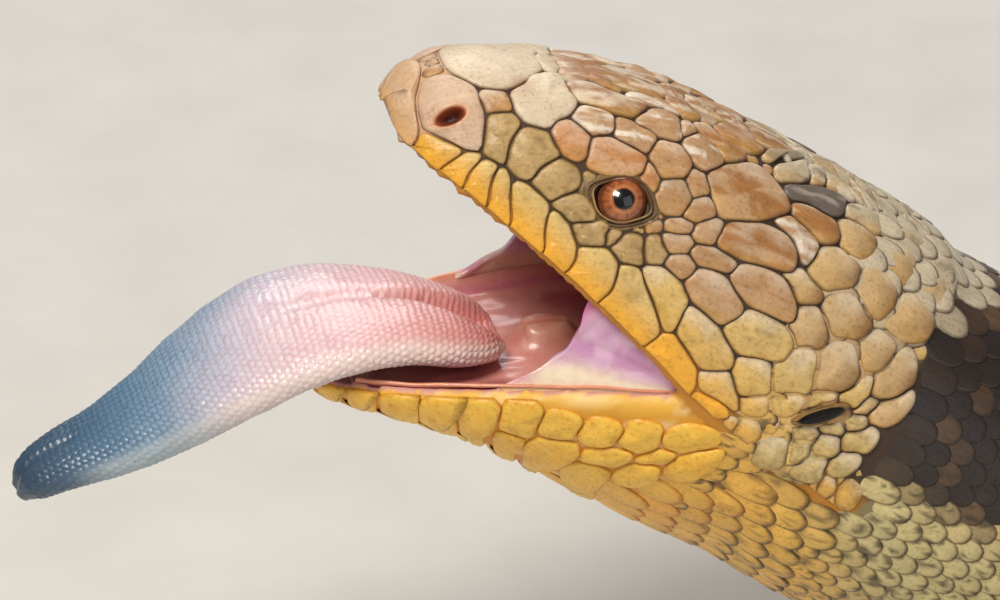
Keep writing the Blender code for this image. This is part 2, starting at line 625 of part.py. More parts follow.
def make_front():
    """Head, lower jaw and neck, joined and then parted by thin cuts."""
    whole = skull("whole")
    floor = read(JAW, "along", GLOTTIS["forward"])["lip"] - FLOOR_DROP
    mound = squashed_ball("glottis", placed((GLOTTIS["forward"], 0.0, floor), JAW_FRAME), JAW_FRAME,
                          GLOTTIS["radii"])
    front = body_length("front", 0.0, BODY_CUTS["neck"] - GAP / 2)
    boolean(whole, [jaw("jaw"), front, mound], "UNION", "MANIFOLD")
    spot, left, up, back, _ = body_at(NECK_STARTS)
    corner = np.array((-10.5, 0.0, -2.6)) + JAW_JOINT
    line = back * 1.0
    reach = float(np.dot(spot - corner, back))
    start = corner - 4.0 * line
    middle = start + line * (reach + 4.0) / 2
    cuts = [slab("neck_cut", spot, left, back, 70, 70),
            slab("cheek_cut", middle, left, np.cross(left, line), reach + 4.0, 70)]
    for cut in cuts:
        boolean(whole, [cut], "DIFFERENCE", "MANIFOLD")
    parts = [keep_surface(whole, faces, "part") for faces in surfaces(whole)[:3]]
    bpy.data.objects.remove(whole)

    def middle_of(part):
        return np.mean([v.co for v in part.data.vertices], axis=0)

    parts.sort(key=lambda part: middle_of(part)[0])
    neck = parts.pop()
    parts.sort(key=lambda part: middle_of(part)[2])
    for part, name in ((parts[0], "lower_jaw"), (parts[1], "head"), (neck, "neck")):
        part.name = name
        rest_on_floor(part)


def make_body():
    """Chest, belly and the three lengths of the tail."""
    names = list(BODY_CUTS) + ["tail_tip"]
    ends = list(BODY_CUTS.values()) + [body_line()[1][-1]]
    for i in range(1, len(names)):
        last = i == len(names) - 1
        count = 22 if names[i] in ("chest", "belly") else 14
        piece = body_length(names[i], ends[i - 1] + GAP / 2, ends[i] - (0 if last else GAP / 2),
                            8.0, count=count)
        rest_on_floor(piece)


def tongue_ring(forward, count=14):
    size = read(TONGUE, "forward", forward)
    ahead = read(TONGUE, "forward", forward + 0.4)
    behind = read(TONGUE, "forward", forward - 0.4)
    way = np.array((-(ahead["forward"] - behind["forward"]), 0.0, ahead["above"] - behind["above"]))
    way /= np.linalg.norm(way)
    roll = math.radians(TONGUE_ROLL)
    up = np.array((-way[2], 0.0, way[0])) * (-1.0 if way[0] < 0 else 1.0)
    left = np.array((0.0, -1.0, 0.0))
    left, up = left * math.cos(roll) - up * math.sin(roll), up * math.cos(roll) + left * math.sin(roll)
    turn = np.linspace(0, 2 * math.pi, count, endpoint=False)
    side = np.outer(power(np.sin(turn), 0.85) * size["half_width"], left)
    rise = np.outer(power(np.cos(turn), 0.85) * size["half_thick"], up)
    return np.array((-size["forward"], 0.0, size["above"])) + JAW_JOINT + side + rise


def make_tongue():
    span = TONGUE["forward"]
    tongue = loft("tongue", [tongue_ring(x) for x in np.linspace(span[0], span[-1], 18)])
    root = TONGUE_ROOT
    middle = ((root["from"] + root["to"]) / 2, 0.0, root["above"])
    half = ((root["to"] - root["from"]) / 2, root["half_width"], root["half_thick"])
    boolean(tongue, [squashed_ball("root", placed(middle, JAW_FRAME), JAW_FRAME, half)], "UNION")
    notch = TONGUE_NOTCH
    tip = placed((notch["to"], 0.0, 0.6), JAW_FRAME)
    corners = [placed((notch["from"], w * notch["wide"] / 2, h), JAW_FRAME) for w in (-1, 1) for h in (-1, 6)]
    top = placed((notch["to"], 0.0, 6.0), JAW_FRAME)
    wedge = mesh_from("wedge", [*corners, tip, top],
                      [(0, 1, 3, 2), (0, 4, 5, 1), (2, 3, 5, 4), (0, 2, 4), (1, 5, 3)])
    boolean(tongue, [face_out(wedge), jaw("clear", GAP)], "DIFFERENCE")
    keep_largest(tongue)


def limb_ring(spot, way, radius, count, flat=1.0):
    side = np.cross(way, np.array((0.0, 0.0, 1.0)))
    side /= np.linalg.norm(side)
    up = np.cross(side, way)
    turn = np.linspace(0, 2 * math.pi, count, endpoint=False)
    return spot + np.outer(np.cos(turn) * radius, side) + np.outer(np.sin(turn) * radius * flat, up)


def limb_line(path, side, stride):
    points = np.array(path, float)
    points[:, 1] *= side
    points[:, 0] += stride * np.linspace(0.0, 1.0, len(points))
    run = np.concatenate(([0.0], np.cumsum(np.linalg.norm(np.diff(points[:, :3], axis=0), axis=1))))
    return points, run


def limb(name, path, plan, side, stride):
    """An upper and lower leg, cut to the curve of the body and of the foot."""
    points, run = limb_line(path, side, stride)
    rings = []
    for s in np.linspace(0, run[-1], 11):
        value = [float(smooth(run, points[:, i], s)) for i in range(4)]
        ahead = [float(smooth(run, points[:, i], min(s + 1, run[-1]))) for i in range(3)]
        behind = [float(smooth(run, points[:, i], max(s - 1, 0))) for i in range(3)]
        way = np.array(ahead) - np.array(behind)
        rings.append(limb_ring(np.array(value[:3]), way / np.linalg.norm(way), value[3], 10))
    leg = loft(name, rings)
    near = 0.0 if path is FORELEG else 150.0
    cutters = [body_length("clear", near, near + 110.0, 6.0, GAP),
               palm("clear", points[-1], plan, side, GAP)[0]]
    boolean(leg, cutters, "DIFFERENCE")
    keep_largest(leg)
    rest_on_floor(leg)


def palm(name, wrist, plan, side, grow=0.0):
    """The sole and back of a foot, from the heel to the roots of the toes."""
    ahead = np.array((plan["ahead"][0], plan["ahead"][1] * side, 0.0))
    ahead /= np.linalg.norm(ahead)
    rings = []
    for share, half, height in PALM_SECTIONS:
        centre = wrist[:3] + ahead * (plan["palm"] * share + grow * (1 if share > 0.5 else -1))
        centre[2] = height * 0.55
        wide = plan["half_width"] * half + grow
        rings.append(limb_ring(centre, ahead, wide, 10, (height * 0.55 + grow) / wide))
    return loft(name, rings), ahead


def toe(spot, way, length):
    """A toe that arches over the floor and ends in a curved claw."""
    rings = []
    for share in (0.0, 0.5, 0.95):
        centre = spot + way * length * share
        centre[2] = TOE_RADIUS + 0.5 * math.sin(math.pi * share) - 0.35 * share
        rings.append(limb_ring(centre, way, TOE_RADIUS * (1.05 - 0.28 * share), TOE_SIDES))
    for share, radius, height in CLAW_SECTIONS:
        centre = spot + way * (length + 0.15 + CLAW_LENGTH * share)
        centre[2] = height
        rings.append(limb_ring(centre, way, radius, TOE_SIDES))
    return loft("toe", rings)


def foot(name, path, plan, side, stride):
    """Palm and five toes, joined, standing on a flat sole."""
    wrist = limb_line(path, side, stride)[0][-1]
    whole, ahead = palm(name, wrist, plan, side)
    toes = []
    straight = math.atan2(ahead[1], ahead[0])
    for spread, length in zip(TOE_SPREAD, plan["toes"]):
        turn = straight - side * math.radians(spread)
        out = np.array((math.cos(turn), math.sin(turn), 0.0))
        start = wrist[:3] + ahead * plan["palm"] * 0.62 + out * plan["half_width"] * 0.35
        toes.append(toe(start, out, length + plan["half_width"] * 0.5))
    boolean(whole, toes, "UNION")
    cut_at_floor(whole)
    keep_largest(whole)


def make_legs():
    for side, word in ((-1, "left"), (1, "right")):
        for leg, path, ending, plan in (("foreleg", FORELEG, "forefoot", FOREFOOT),
                                        ("hindleg", HINDLEG, "hindfoot", HINDFOOT)):
            stride = STRIDE[f"{leg}_{word}"]
            limb(f"{leg}_{word}", path, plan, side, stride)
            foot(f"{ending}_{word}", path, plan, side, stride)


def ball(name, centre, radius, across=12, rings=8):
    made = bmesh.new()
    bmesh.ops.create_uvsphere(made, u_segments=across, v_segments=rings, radius=radius)
    mesh = bpy.data.meshes.new(name)
    made.to_mesh(mesh)
    made.free()
    mesh.transform(Matrix.Translation(Vector(centre)))
    obj = bpy.data.objects.new(name, mesh)
    bpy.context.scene.collection.objects.link(obj)
    return obj


def make_head_forms():
    """Eyes in their sockets, lids, nostrils, ears and the shields of the head."""
    head = bpy.data.objects["head"]
    surface = HeadSurface()
    hollows, raised = [], make_shields(surface)
    for side in (1.0, -1.0):
        for pixel, radii in ((NOSTRIL_PIXEL, NOSTRIL), (EAR_PIXEL, EAR)):
            place, axes = mirrored(*skin_axes(surface, pixel), side)
            hollows.append(squashed_ball("hollow", place, axes, radii))
        place, axes = mirrored(*skin_axes(surface, EYE_PIXEL), side)
        centre = place - axes[2] * EYE_DEPTH
        ball("eye_left" if side > 0 else "eye_right", centre, EYE_RADIUS)
        hollows.append(ball("socket", centre, EYE_RADIUS + GAP))
        raised.append(lid_ring(surface, side))
    boolean(head, raised, "UNION", "MANIFOLD")
    keep_largest(head)
    boolean(head, hollows, "DIFFERENCE", "MANIFOLD")
    keep_largest(head)


def finish(name):
    colour, roughness = COLOURS[name]
    material = bpy.data.materials.new(name)
    material.use_nodes = True
    shader = material.node_tree.nodes["Principled BSDF"]
    shader.inputs["Base Color"].default_value = colour
    shader.inputs["Roughness"].default_value = roughness
    return material


def dress():
    """Materials, shading, and one shift and scale for every object."""
    slots = {"tongue": "tongue", "eye": "eye", "lower": "throat", "cheek": "mouth"}
    materials = {name: finish(name) for name in COLOURS}
    objects = list(bpy.data.objects)
    places = np.array([v.co for obj in objects for v in obj.data.vertices])
    low, high = places.min(0), places.max(0)
    shift = Vector((-(low[0] + high[0]) / 2, -(low[1] + high[1]) / 2, -low[2]))
    for obj in objects:
        obj.data.transform(Matrix.Scale(MM, 4) @ Matrix.Translation(shift))
        obj.data.materials.clear()
        obj.data.materials.append(materials[slots.get(obj.name.split("_")[0], "skin")])
        obj.data.shade_smooth()
        obj.data.set_sharp_from_angle(angle=math.radians(35))


def main():
    for old in list(bpy.data.objects):
        bpy.data.objects.remove(old)
    make_front()
    make_body()
    make_tongue()
    make_legs()
    make_head_forms()
    for side, word in ((1.0, "left"), (-1.0, "right")):
        cheek_sheet(f"cheek_{word}", side)
    dress()


main()
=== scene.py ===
import math

import bmesh
import bpy
import numpy as np
from mathutils import Matrix, Vector
from mathutils.bvhtree import BVHTree
from mathutils.kdtree import KDTree


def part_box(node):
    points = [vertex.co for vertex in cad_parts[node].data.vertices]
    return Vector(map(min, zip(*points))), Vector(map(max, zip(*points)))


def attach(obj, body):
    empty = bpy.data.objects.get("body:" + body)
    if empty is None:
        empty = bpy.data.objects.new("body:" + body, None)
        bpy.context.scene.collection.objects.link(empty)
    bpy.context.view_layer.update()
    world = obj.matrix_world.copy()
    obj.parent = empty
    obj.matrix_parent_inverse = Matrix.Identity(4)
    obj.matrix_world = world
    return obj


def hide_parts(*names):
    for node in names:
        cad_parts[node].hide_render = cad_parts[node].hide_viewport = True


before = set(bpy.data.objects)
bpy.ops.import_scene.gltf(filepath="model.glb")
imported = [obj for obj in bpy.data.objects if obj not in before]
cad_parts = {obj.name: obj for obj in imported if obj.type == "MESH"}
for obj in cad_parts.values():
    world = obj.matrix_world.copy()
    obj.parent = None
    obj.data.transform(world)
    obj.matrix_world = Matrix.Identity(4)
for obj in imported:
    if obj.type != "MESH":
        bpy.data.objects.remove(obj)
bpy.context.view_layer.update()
bpy.ops.object.select_all(action="DESELECT")
print("frame loaded")

mm = 0.001
modelShift = np.array((-130.4825, 0.0, 0.0))  # from the shape tables to the model's own axes
jawJoint = np.array((0.0, 0.0, 58.0))

# Camera: where the photo was taken from, and what one pixel of it spans at the head
shot = {"azimuth": 12.0, "elevation": 28.0, "distance": 430.0, "pixel": 0.1, "frame": (1000, 600),
        "hinge": (0.0, -19.0, 58.0), "hingePixel": (790.0, 380.0)}
azimuth, elevation = math.radians(shot["azimuth"]), math.radians(shot["elevation"])
viewRight = np.array((math.cos(azimuth), -math.sin(azimuth), 0.0))
viewBack = np.array((-math.sin(azimuth) * math.cos(elevation),
                     -math.cos(azimuth) * math.cos(elevation), math.sin(elevation)))
viewUp = np.cross(viewBack, viewRight)
frameMiddle = np.array(shot["frame"]) / 2
offset = (np.array(shot["hingePixel"]) - frameMiddle) * shot["pixel"]
viewAim = np.array(shot["hinge"]) - viewRight * offset[0] + viewUp * offset[1]
camera = bpy.data.objects.new("camera", bpy.data.cameras.new("camera"))
bpy.context.scene.collection.objects.link(camera)
bpy.context.scene.camera = camera
camera.matrix_world = Matrix([[viewRight[i], viewUp[i], viewBack[i],
                               (viewAim + viewBack * shot["distance"] + modelShift)[i] * mm]
                              for i in range(3)] + [[0, 0, 0, 1]])
camera.data.lens = 36.0 * shot["distance"] / (shot["frame"][0] * shot["pixel"])
camera.data.clip_start = 0.02


def seenAt(points):  # pixel of the photo in which each point shows
    away = np.asarray(points) - viewAim
    scale = shot["distance"] / (shot["distance"] - away @ viewBack) / shot["pixel"]
    return np.stack((frameMiddle[0] + away @ viewRight * scale, frameMiddle[1] - away @ viewUp * scale), -1)


# Shape of the flesh, as in the solids
headSlope = {"skull": 32.5, "jaw": -3.0}  # degrees above level
skullShape = {
    "along": (45.9, 45.4, 44.0, 41.6, 37.5, 32.0, 26.0, 20.0, 14.0, 8.0, 0.0, -8.0, -14.0, -22.0),
    "wide": (0.0, 2.6, 5.2, 7.6, 9.8, 11.9, 13.8, 15.6, 17.2, 18.4, 19.6, 20.0, 19.6, 16.0),
    "far": (2.2, 4.8, 6.8, 8.9, 10.9, 12.9, 14.4, 15.3, 15.8, 16.0, 16.0, 15.6, 15.2, 12.0),
    "lip": (1.4, 0.4, -0.3, -0.6, -0.9, -1.6, -2.6, -3.9, -5.4, -7.2, -9.0, -10.0, -11.0, -9.0),
    "square": (2.0, 2.0, 2.0, 2.1, 2.2, 2.3, 2.4, 2.4, 2.3, 2.2, 2.1, 2.1, 2.1, 2.1),
}
jawShape = {
    "along": (47.4, 46.8, 45.0, 41.5, 37.0, 31.0, 26.0, 20.0, 14.0, 8.0, 3.0, -3.0, -12.0),
    "wide": (0.0, 2.8, 5.4, 8.2, 10.6, 13.0, 14.6, 16.0, 17.2, 18.2, 19.0, 19.4, 16.0),
    "far": (-0.9, -2.2, -3.4, -4.8, -6.7, -9.9, -13.6, -18.2, -22.8, -26.8, -30.0, -32.6, -33.0),
    "lip": (-0.4, 0.2, 0.5, 0.6, 0.6, 0.6, 0.4, 0.0, -0.8, -2.0, -4.0, -6.0, -10.0),
    "square": (2.0,) * 13,
}
bodyShape = {
    "x": (-5, 8.5, 22, 36, 52, 70, 92, 115, 140, 162, 182, 200, 214, 235, 262, 290, 314, 330, 337),
    "y": (0, 0, 0, 0.5, 1.5, 3.0, 5.0, 6.5, 7.0, 5.5, 3.0, 0.5, -1.0, -4, -9.5, -17, -25, -31, -34),
    "z": (53.8, 45.0, 35.8, 28.6, 24.0, 21.6, 20.0, 19.0, 18.2, 17.2, 15.4, 13.0, 11.4, 9.9, 8.3,
          6.3, 4.3, 2.7, 1.6),
    "wide": (17.0, 20.2, 20.8, 21.2, 22.8, 26.5, 30.0, 31.0, 29.5, 26.5, 22.5, 17.0, 13.2,
             11.6, 10.0, 7.9, 5.4, 3.2, 1.2),
    "up": (16.0, 20.0, 20.6, 20.2, 19.6, 19.6, 20.0, 20.4, 19.8, 18.4, 16.2, 14.2, 12.6, 11.2,
           9.4, 7.2, 4.9, 3.0, 1.2),
    "down": (17.0, 20.2, 20.6, 20.4, 19.8, 19.6, 20.2, 20.4, 19.6, 18.2, 16.0, 13.4, 11.8, 10.4,
             8.9, 6.9, 4.9, 3.2, 1.9),
    "square": (2.1, 2.1, 2.1, 2.1, 2.2, 2.3, 2.4, 2.4, 2.4, 2.3, 2.2, 2.1, 2.0, 2.0, 2.0, 2.0,
               2.0, 2.0, 2.0),
}
legShape = {
    "foreleg": ((46, 8, 25, 8.6), (50, 20, 23, 8.0), (55, 29, 19.5, 6.6), (56, 34, 15, 5.8),
                (51, 38, 10.5, 5.2), (45, 41, 6.6, 4.4)),
    "hindleg": ((186, 8, 17, 9.0), (181, 20, 17, 8.6), (175, 30, 16, 7.2), (174, 36, 12.6, 6.2),
                (181, 41, 8.6, 5.4), (188, 45, 6.0, 4.5)),
}
footShape = {
    "foreleg": {"ahead": (-0.80, 0.60), "palm": 9.0, "wide": 4.8, "toes": (5.4, 7.4, 8.4, 7.6, 5.6)},
    "hindleg": {"ahead": (-0.62, 0.78), "palm": 11.0, "wide": 5.0, "toes": (5.2, 7.2, 8.8, 9.6, 6.4)},
}
toeSpread = (-58, -30, -6, 18, 46)
stride = {("foreleg", -1): 0.0, ("foreleg", 1): 7.0, ("hindleg", -1): 4.0, ("hindleg", 1): -6.0}
mouthShape = {"palateRise": 3.4, "floorDrop": 2.8, "lipRound": 0.9}
# skin under the coat
hide = {"headDown": 0.12, "jawDown": 0.34, "bodyDown": 0.42, "legDown": 0.3, "voxel": 0.85}


def smooth(along, values, at):  # a curve through the stations with no overshoot
    x, y = np.asarray(along, float), np.asarray(values, float)
    if x[0] > x[-1]:
        x, y = x[::-1], y[::-1]
    step = np.diff(x)
    slope = np.diff(y) / step
    tangent = np.empty_like(y)
    tangent[0], tangent[-1] = slope[0], slope[-1]
    a, b = 2 * step[1:] + step[:-1], step[1:] + 2 * step[:-1]
    with np.errstate(divide="ignore", invalid="ignore"):
        mean = (a + b) / (a / slope[:-1] + b / slope[1:])
    tangent[1:-1] = np.where(slope[:-1] * slope[1:] > 0, mean, 0.0)
    at = np.clip(np.asarray(at, float), x[0], x[-1])
    i = np.clip(np.searchsorted(x, at, side="right") - 1, 0, len(step) - 1)
    t = (at - x[i]) / step[i]
    low = (1 + 2 * t) * (1 - t) ** 2 * y[i] + t * (1 - t) ** 2 * step[i] * tangent[i]
    return low + t**2 * (3 - 2 * t) * y[i + 1] + t**2 * (t - 1) * step[i] * tangent[i + 1]


def stepUp(low, high, value):  # 0 under low, 1 over high, smooth between
    t = np.clip((np.asarray(value, float) - low) / (high - low), 0, 1)
    return t * t * (3 - 2 * t)


def unit(vectors):
    vectors = np.asarray(vectors, float)
    return vectors / np.maximum(np.linalg.norm(vectors, axis=-1, keepdims=True), 1e-9)


def headAxes(slope):  # forward, left and up of a head part
    a = math.radians(slope)
    return np.array(((-math.cos(a), 0, math.sin(a)), (0, -1, 0), (math.sin(a), 0, math.cos(a))))


skullAxes, jawAxes = headAxes(headSlope["skull"]), headAxes(headSlope["jaw"])


def grain(points, size, seed=0):  # soft noise between -1 and 1
    p = np.asarray(points, float) / size + seed * 17.31
    base = np.floor(p).astype(np.int64)
    part = p - base
    part = part * part * (3 - 2 * part)
    total = np.zeros(p.shape[:-1])
    for corner in range(8):
        shiftBy = np.array([(corner >> k) & 1 for k in range(3)])
        cell = base + shiftBy
        code = (cell[..., 0] * 374761393 + cell[..., 1] * 668265263 + cell[..., 2] * 2147483647
                + seed * 97) & 0x7fffffff
        code = ((code ^ (code >> 13)) * 1274126177) & 0x7fffffff
        value = ((code ^ (code >> 16)) & 0xffff) / 32767.5 - 1.0
        weight = np.prod(np.where(shiftBy, part, 1 - part), axis=-1)
        total += value * weight
    return total


def meshOf(name, verts, faces, smoothShade=True):  # a new object, given in millimetres of the tables
    mesh = bpy.data.meshes.new(name)
    verts = (np.asarray(verts, float) + modelShift) * mm
    verts[:, 2] = np.maximum(verts[:, 2], 0.0)  # nothing goes into the ground
    mesh.from_pydata(verts.tolist(), [], faces)
    mesh.update()
    if smoothShade:
        mesh.shade_smooth()
    obj = bpy.data.objects.new(name, mesh)
    bpy.context.scene.collection.objects.link(obj)
    return obj


def faceOut(obj):
    made = bmesh.new()
    made.from_mesh(obj.data)
    bmesh.ops.recalc_face_normals(made, faces=made.faces)
    if made.calc_volume(signed=True) < 0:
        bmesh.ops.reverse_faces(made, faces=made.faces)
    made.to_mesh(obj.data)
    made.free()
    return obj


def gridFaces(rows, around, closed=True):
    faces = []
    last = around if closed else around - 1
    for i in range(rows - 1):
        for j in range(last):
            k = (j + 1) % around
            faces.append((i * around + j, i * around + k, (i + 1) * around + k, (i + 1) * around + j))
    return faces


def loft(name, rings):
    rings = np.asarray(rings)
    rows, around = rings.shape[:2]
    faces = gridFaces(rows, around) + [tuple(range(around)), tuple(range((rows - 1) * around, rows * around))]
    return faceOut(meshOf(name, rings.reshape(-1, 3), faces))


def headSection(shape, along, down=0.0, outer=61, inner=21):  # outside of a head part, then its mouth side
    size = {key: float(smooth(shape["along"], values, along)) for key, values in shape.items()}
    upper = shape is skullShape
    sign = 1 if upper else -1
    exponent = 2 / size["square"] if upper else 1.0
    far, lip = size["far"] - sign * down, size["lip"]
    tall = abs(far - lip)
    rim = lip + sign * min(mouthShape["lipRound"], 0.3 * tall)
    depth = min(mouthShape["palateRise" if upper else "floorDrop"], 0.5 * tall)
    turn = np.linspace(-math.pi / 2, math.pi / 2, outer)
    sine, cosine = np.sin(turn), np.cos(turn)
    wide = max(size["wide"] - down, 0.02)
    side = -np.sign(sine) * np.abs(sine) ** exponent * wide
    height = rim + (far - rim) * np.abs(cosine) ** exponent
    share = np.linspace(-0.95, 0.95, inner)
    drop = smooth((0.0, 0.4, 0.75, 0.86, 0.95), (1.0, 0.97, 0.7, 0.25, 0.0), np.abs(share))
    inside = np.column_stack((share * wide, lip + sign * drop * depth))
    section = np.vstack((np.column_stack((side, height)), inside))
    axes = skullAxes if upper else jawAxes
    return np.column_stack((np.full(len(section), along), section)) @ axes + jawJoint


def headAlongs(shape, tip, back, count):  # closer together at the tip
    start = shape["along"][0] - tip
    return start + (back - start) * np.linspace(0, 1, count) ** 1.7


bodyPoints = np.column_stack([bodyShape[key] for key in "xyz"]).astype(float)
bodyRun = np.concatenate(([0.0], np.cumsum(np.linalg.norm(np.diff(bodyPoints, axis=0), axis=1))))


def bodyAt(place):
    spot = [np.array([float(smooth(bodyRun, bodyPoints[:, i], np.clip(place + step, 0, bodyRun[-1])))
                      for i in range(3)]) for step in (0.0, 0.5, -0.5)]
    back = unit(spot[1] - spot[2])
    left = unit(np.cross((0.0, 0.0, 1.0), -back))
    return spot[0], left, np.cross(-back, left), back


def bodySection(place, down=0.0, around=64):
    spot, left, up, _ = bodyAt(place)
    size = {key: float(smooth(bodyRun, bodyShape[key], place)) for key in ("wide", "up", "down", "square")}
    turn = np.linspace(0, 2 * math.pi, around, endpoint=False)
    exponent = 2 / size["square"]
    side = np.sign(np.sin(turn)) * np.abs(np.sin(turn)) ** exponent * max(size["wide"] - down, 0.3)
    rise = np.sign(np.cos(turn)) * np.abs(np.cos(turn)) ** exponent
    rise *= np.where(rise > 0, max(size["up"] - down, 0.3), max(size["down"] - down, 0.3))
    return spot + np.outer(side, left) + np.outer(rise, up)


class Sheet:  # a stretch of hide laid flat: a place along it, and millimetres round from its middle line
    def __init__(self, along, rows):
        order = np.argsort(along)
        self.along = np.asarray(along, float)[order]
        self.points = np.asarray(rows, float)[order]
        self.middle = self.points.shape[1] // 2
        steps = np.linalg.norm(np.diff(self.points, axis=1), axis=2)
        run = np.concatenate((np.zeros((len(steps), 1)), np.cumsum(steps, axis=1)), axis=1)
        self.girth = run[:, -1] / 2
        even = np.linspace(0, 1, self.points.shape[1])
        for i in range(len(self.points)):
            self.points[i] = np.column_stack([np.interp(even * run[i, -1], run[i], self.points[i, :, k])
                                              for k in range(3)])
        self.normals = self.facing(self.points)

    def facing(self, points):
        ahead = np.gradient(points, axis=0)
        across = np.gradient(points, axis=1)
        out = unit(np.cross(ahead, across))
        core = points.mean(axis=1, keepdims=True)
        return out * np.where(np.median(np.sum(out * (points - core), -1)) < 0, -1.0, 1.0)

    def at(self, along, roundAt, rise=0.0):
        along, roundAt = np.broadcast_arrays(np.asarray(along, float), np.asarray(roundAt, float))
        row = np.interp(along, self.along, np.arange(len(self.along)))
        low = np.clip(row.astype(int), 0, len(self.along) - 2)
        part = (row - low)[..., None]
        girth = np.interp(along, self.along, self.girth)
        column = (np.clip(roundAt / girth, -1, 1) + 1) / 2 * (self.points.shape[1] - 1)
        left = np.clip(column.astype(int), 0, self.points.shape[1] - 2)
        share = (column - left)[..., None]

        def mix(table):
            return ((1 - part) * ((1 - share) * table[low, left] + share * table[low, left + 1])
                    + part * ((1 - share) * table[low + 1, left] + share * table[low + 1, left + 1]))

        normal = unit(mix(self.normals))
        return mix(self.points) + normal * np.asarray(rise)[..., None], normal

    def find(self, pixels):  # where pixels of the photo fall on the near side
        pixels = np.asarray(pixels, float)
        seen = seenAt(self.points[:, self.middle:])
        columns = np.linspace(0, 1, seen.shape[1])
        found = []
        for pixel in pixels:
            miss = np.hypot(*(seen - pixel).transpose(2, 0, 1))
            row, column = np.unravel_index(np.argmin(miss), miss.shape)
            place = np.array((self.along[row], columns[column] * self.girth[row]))
            for _ in range(4):
                base = seenAt(self.at(*place)[0])
                slope = np.column_stack([(seenAt(self.at(*(place + step))[0]) - base) / 0.05
                                         for step in (np.array((0.05, 0)), np.array((0, 0.05)))])
                if abs(np.linalg.det(slope)) < 8:
                    break
                place = place + np.clip(np.linalg.solve(slope, pixel - base), -0.6, 0.6)
            found.append(place)
        return np.array(found)


# Head hide with its swells: brow, cheek, canthus and the hollow round the eye, in mm along and round
headSwells = (  # along, round, reach along, reach round, height
    (18.5, 8.2, 5.0, 2.6, 0.55),    # brow ridge
    (31.0, 7.0, 6.0, 2.2, 0.25),    # canthus
    (2.0, 17.0, 9.0, 6.5, 0.45),    # jaw muscle
    (27.5, 14.5, 4.0, 3.0, -0.35),  # hollow in front of the eye
    (41.0, 6.0, 3.0, 3.0, 0.2),     # round the nostril
)
ringCount = 161


def headRows():
    alongs = skullShape["along"][0] - 0.05 - 60.0 * np.linspace(0, 1, 150) ** 1.25
    rows = np.array([headSection(skullShape, a, outer=ringCount)[ringCount - 1::-1] for a in alongs])
    return alongs, rows


alongs, rows = headRows()
headSheet = Sheet(alongs, rows)


def swellOf(along, roundAt):
    total = np.zeros(np.broadcast(along, roundAt).shape)
    for a, r, reachA, reachR, height in headSwells:
        total += height * np.exp(-((along - a) / reachA) ** 2 - ((np.abs(roundAt) - r) / reachR) ** 2)
    return total


flat = headSheet.points.copy()
for i, along in enumerate(headSheet.along):
    roundAt = np.linspace(-1, 1, ringCount) * headSheet.girth[i]
    fade = stepUp(0.0, 2.0, headSheet.girth[i] - np.abs(roundAt))  # the lip itself stays
    flat[i] += headSheet.normals[i] * (swellOf(along, roundAt) * fade)[:, None]
headSheet.points = flat
headSheet.normals = headSheet.facing(flat)
jawAlongs = jawShape["along"][0] - 0.15 - 58.0 * np.linspace(0, 1, 110) ** 1.25
jawSheet = Sheet(jawAlongs, [headSection(jawShape, a, outer=ringCount)[ringCount - 1::-1] for a in jawAlongs])
bodyPlaces = np.linspace(0.0, bodyRun[-1], 260)
bodySheet = Sheet(bodyPlaces, [np.vstack((ring, ring[:1])) for ring in
                               (np.roll(bodySection(s, around=120), 60, axis=0) for s in bodyPlaces)])
print("hide laid flat")

# Eye, nostril and ear, at their pixels in the photo
eye = {"pixel": (622, 200), "radius": 3.1, "depth": 1.9, "long": 2.45, "high": 2.1}
nostril = {"pixel": (451, 117), "long": 1.0, "high": 0.92, "deep": 1.7}
ear = {"pixel": (820, 414), "long": 2.4, "high": 0.62}


def featureAt(pixel):  # its place on the flat hide, its point, and the ways forward, down and out there
    along, roundAt = headSheet.find([pixel])[0]
    point, out = headSheet.at(along, roundAt)
    ahead = headSheet.at(along + 0.5, roundAt)[0] - headSheet.at(along - 0.5, roundAt)[0]
    ahead = unit(ahead - out * np.dot(ahead, out))
    return {"along": along, "round": roundAt, "point": point,
            "axes": np.array((ahead, np.cross(out, ahead), out))}


for piece in (eye, nostril, ear):
    piece.update(featureAt(piece["pixel"]))
eye["centre"] = eye["point"] - eye["axes"][2] * eye["depth"]
low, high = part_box("eye_left")
print("eye off its solid by", np.round(eye["centre"] + modelShift
                                       - (np.array(low) + np.array(high)) / 2 / mm, 3))


def paint(mesh, colours):  # a colour for each point, read by the materials as Tint
    layer = mesh.color_attributes.new("Tint", "FLOAT_COLOR", "POINT")
    values = np.column_stack((np.clip(colours.reshape(-1, 3), 0, 1), np.ones(len(mesh.vertices))))
    layer.data.foreach_set("color", values.ravel().astype(np.float32))


def mirrorOf(vectors):
    return np.asarray(vectors, float) * (1.0, -1.0, 1.0)


# Skin: one mesh from the shapes above, grown together
def limbLine(leg, side):
    points = np.array(legShape[leg], float)
    points[:, 1] *= side
    points[:, 0] += stride[(leg, side)] * np.linspace(0, 1, len(points))
    run = np.concatenate(([0.0], np.cumsum(np.linalg.norm(np.diff(points[:, :3], axis=0), axis=1))))
    return points, run


def limbRing(spot, way, wide, tall, count):
    side = unit(np.cross(way, (0.0, 0.0, 1.0)))
    up = np.cross(side, way)
    turn = np.linspace(0, 2 * math.pi, count, endpoint=False)
    return spot + np.outer(np.cos(turn) * wide, side) + np.outer(np.sin(turn) * tall, up)


def limbAt(leg, side, share):
    points, run = limbLine(leg, side)
    place = share * run[-1]
    value = np.array([float(smooth(run, points[:, i], place)) for i in range(4)])
    way = np.array([float(smooth(run, points[:, i], min(place + 1, run[-1])))
                    - float(smooth(run, points[:, i], max(place - 1, 0))) for i in range(3)])
    return value[:3], unit(way), value[3]


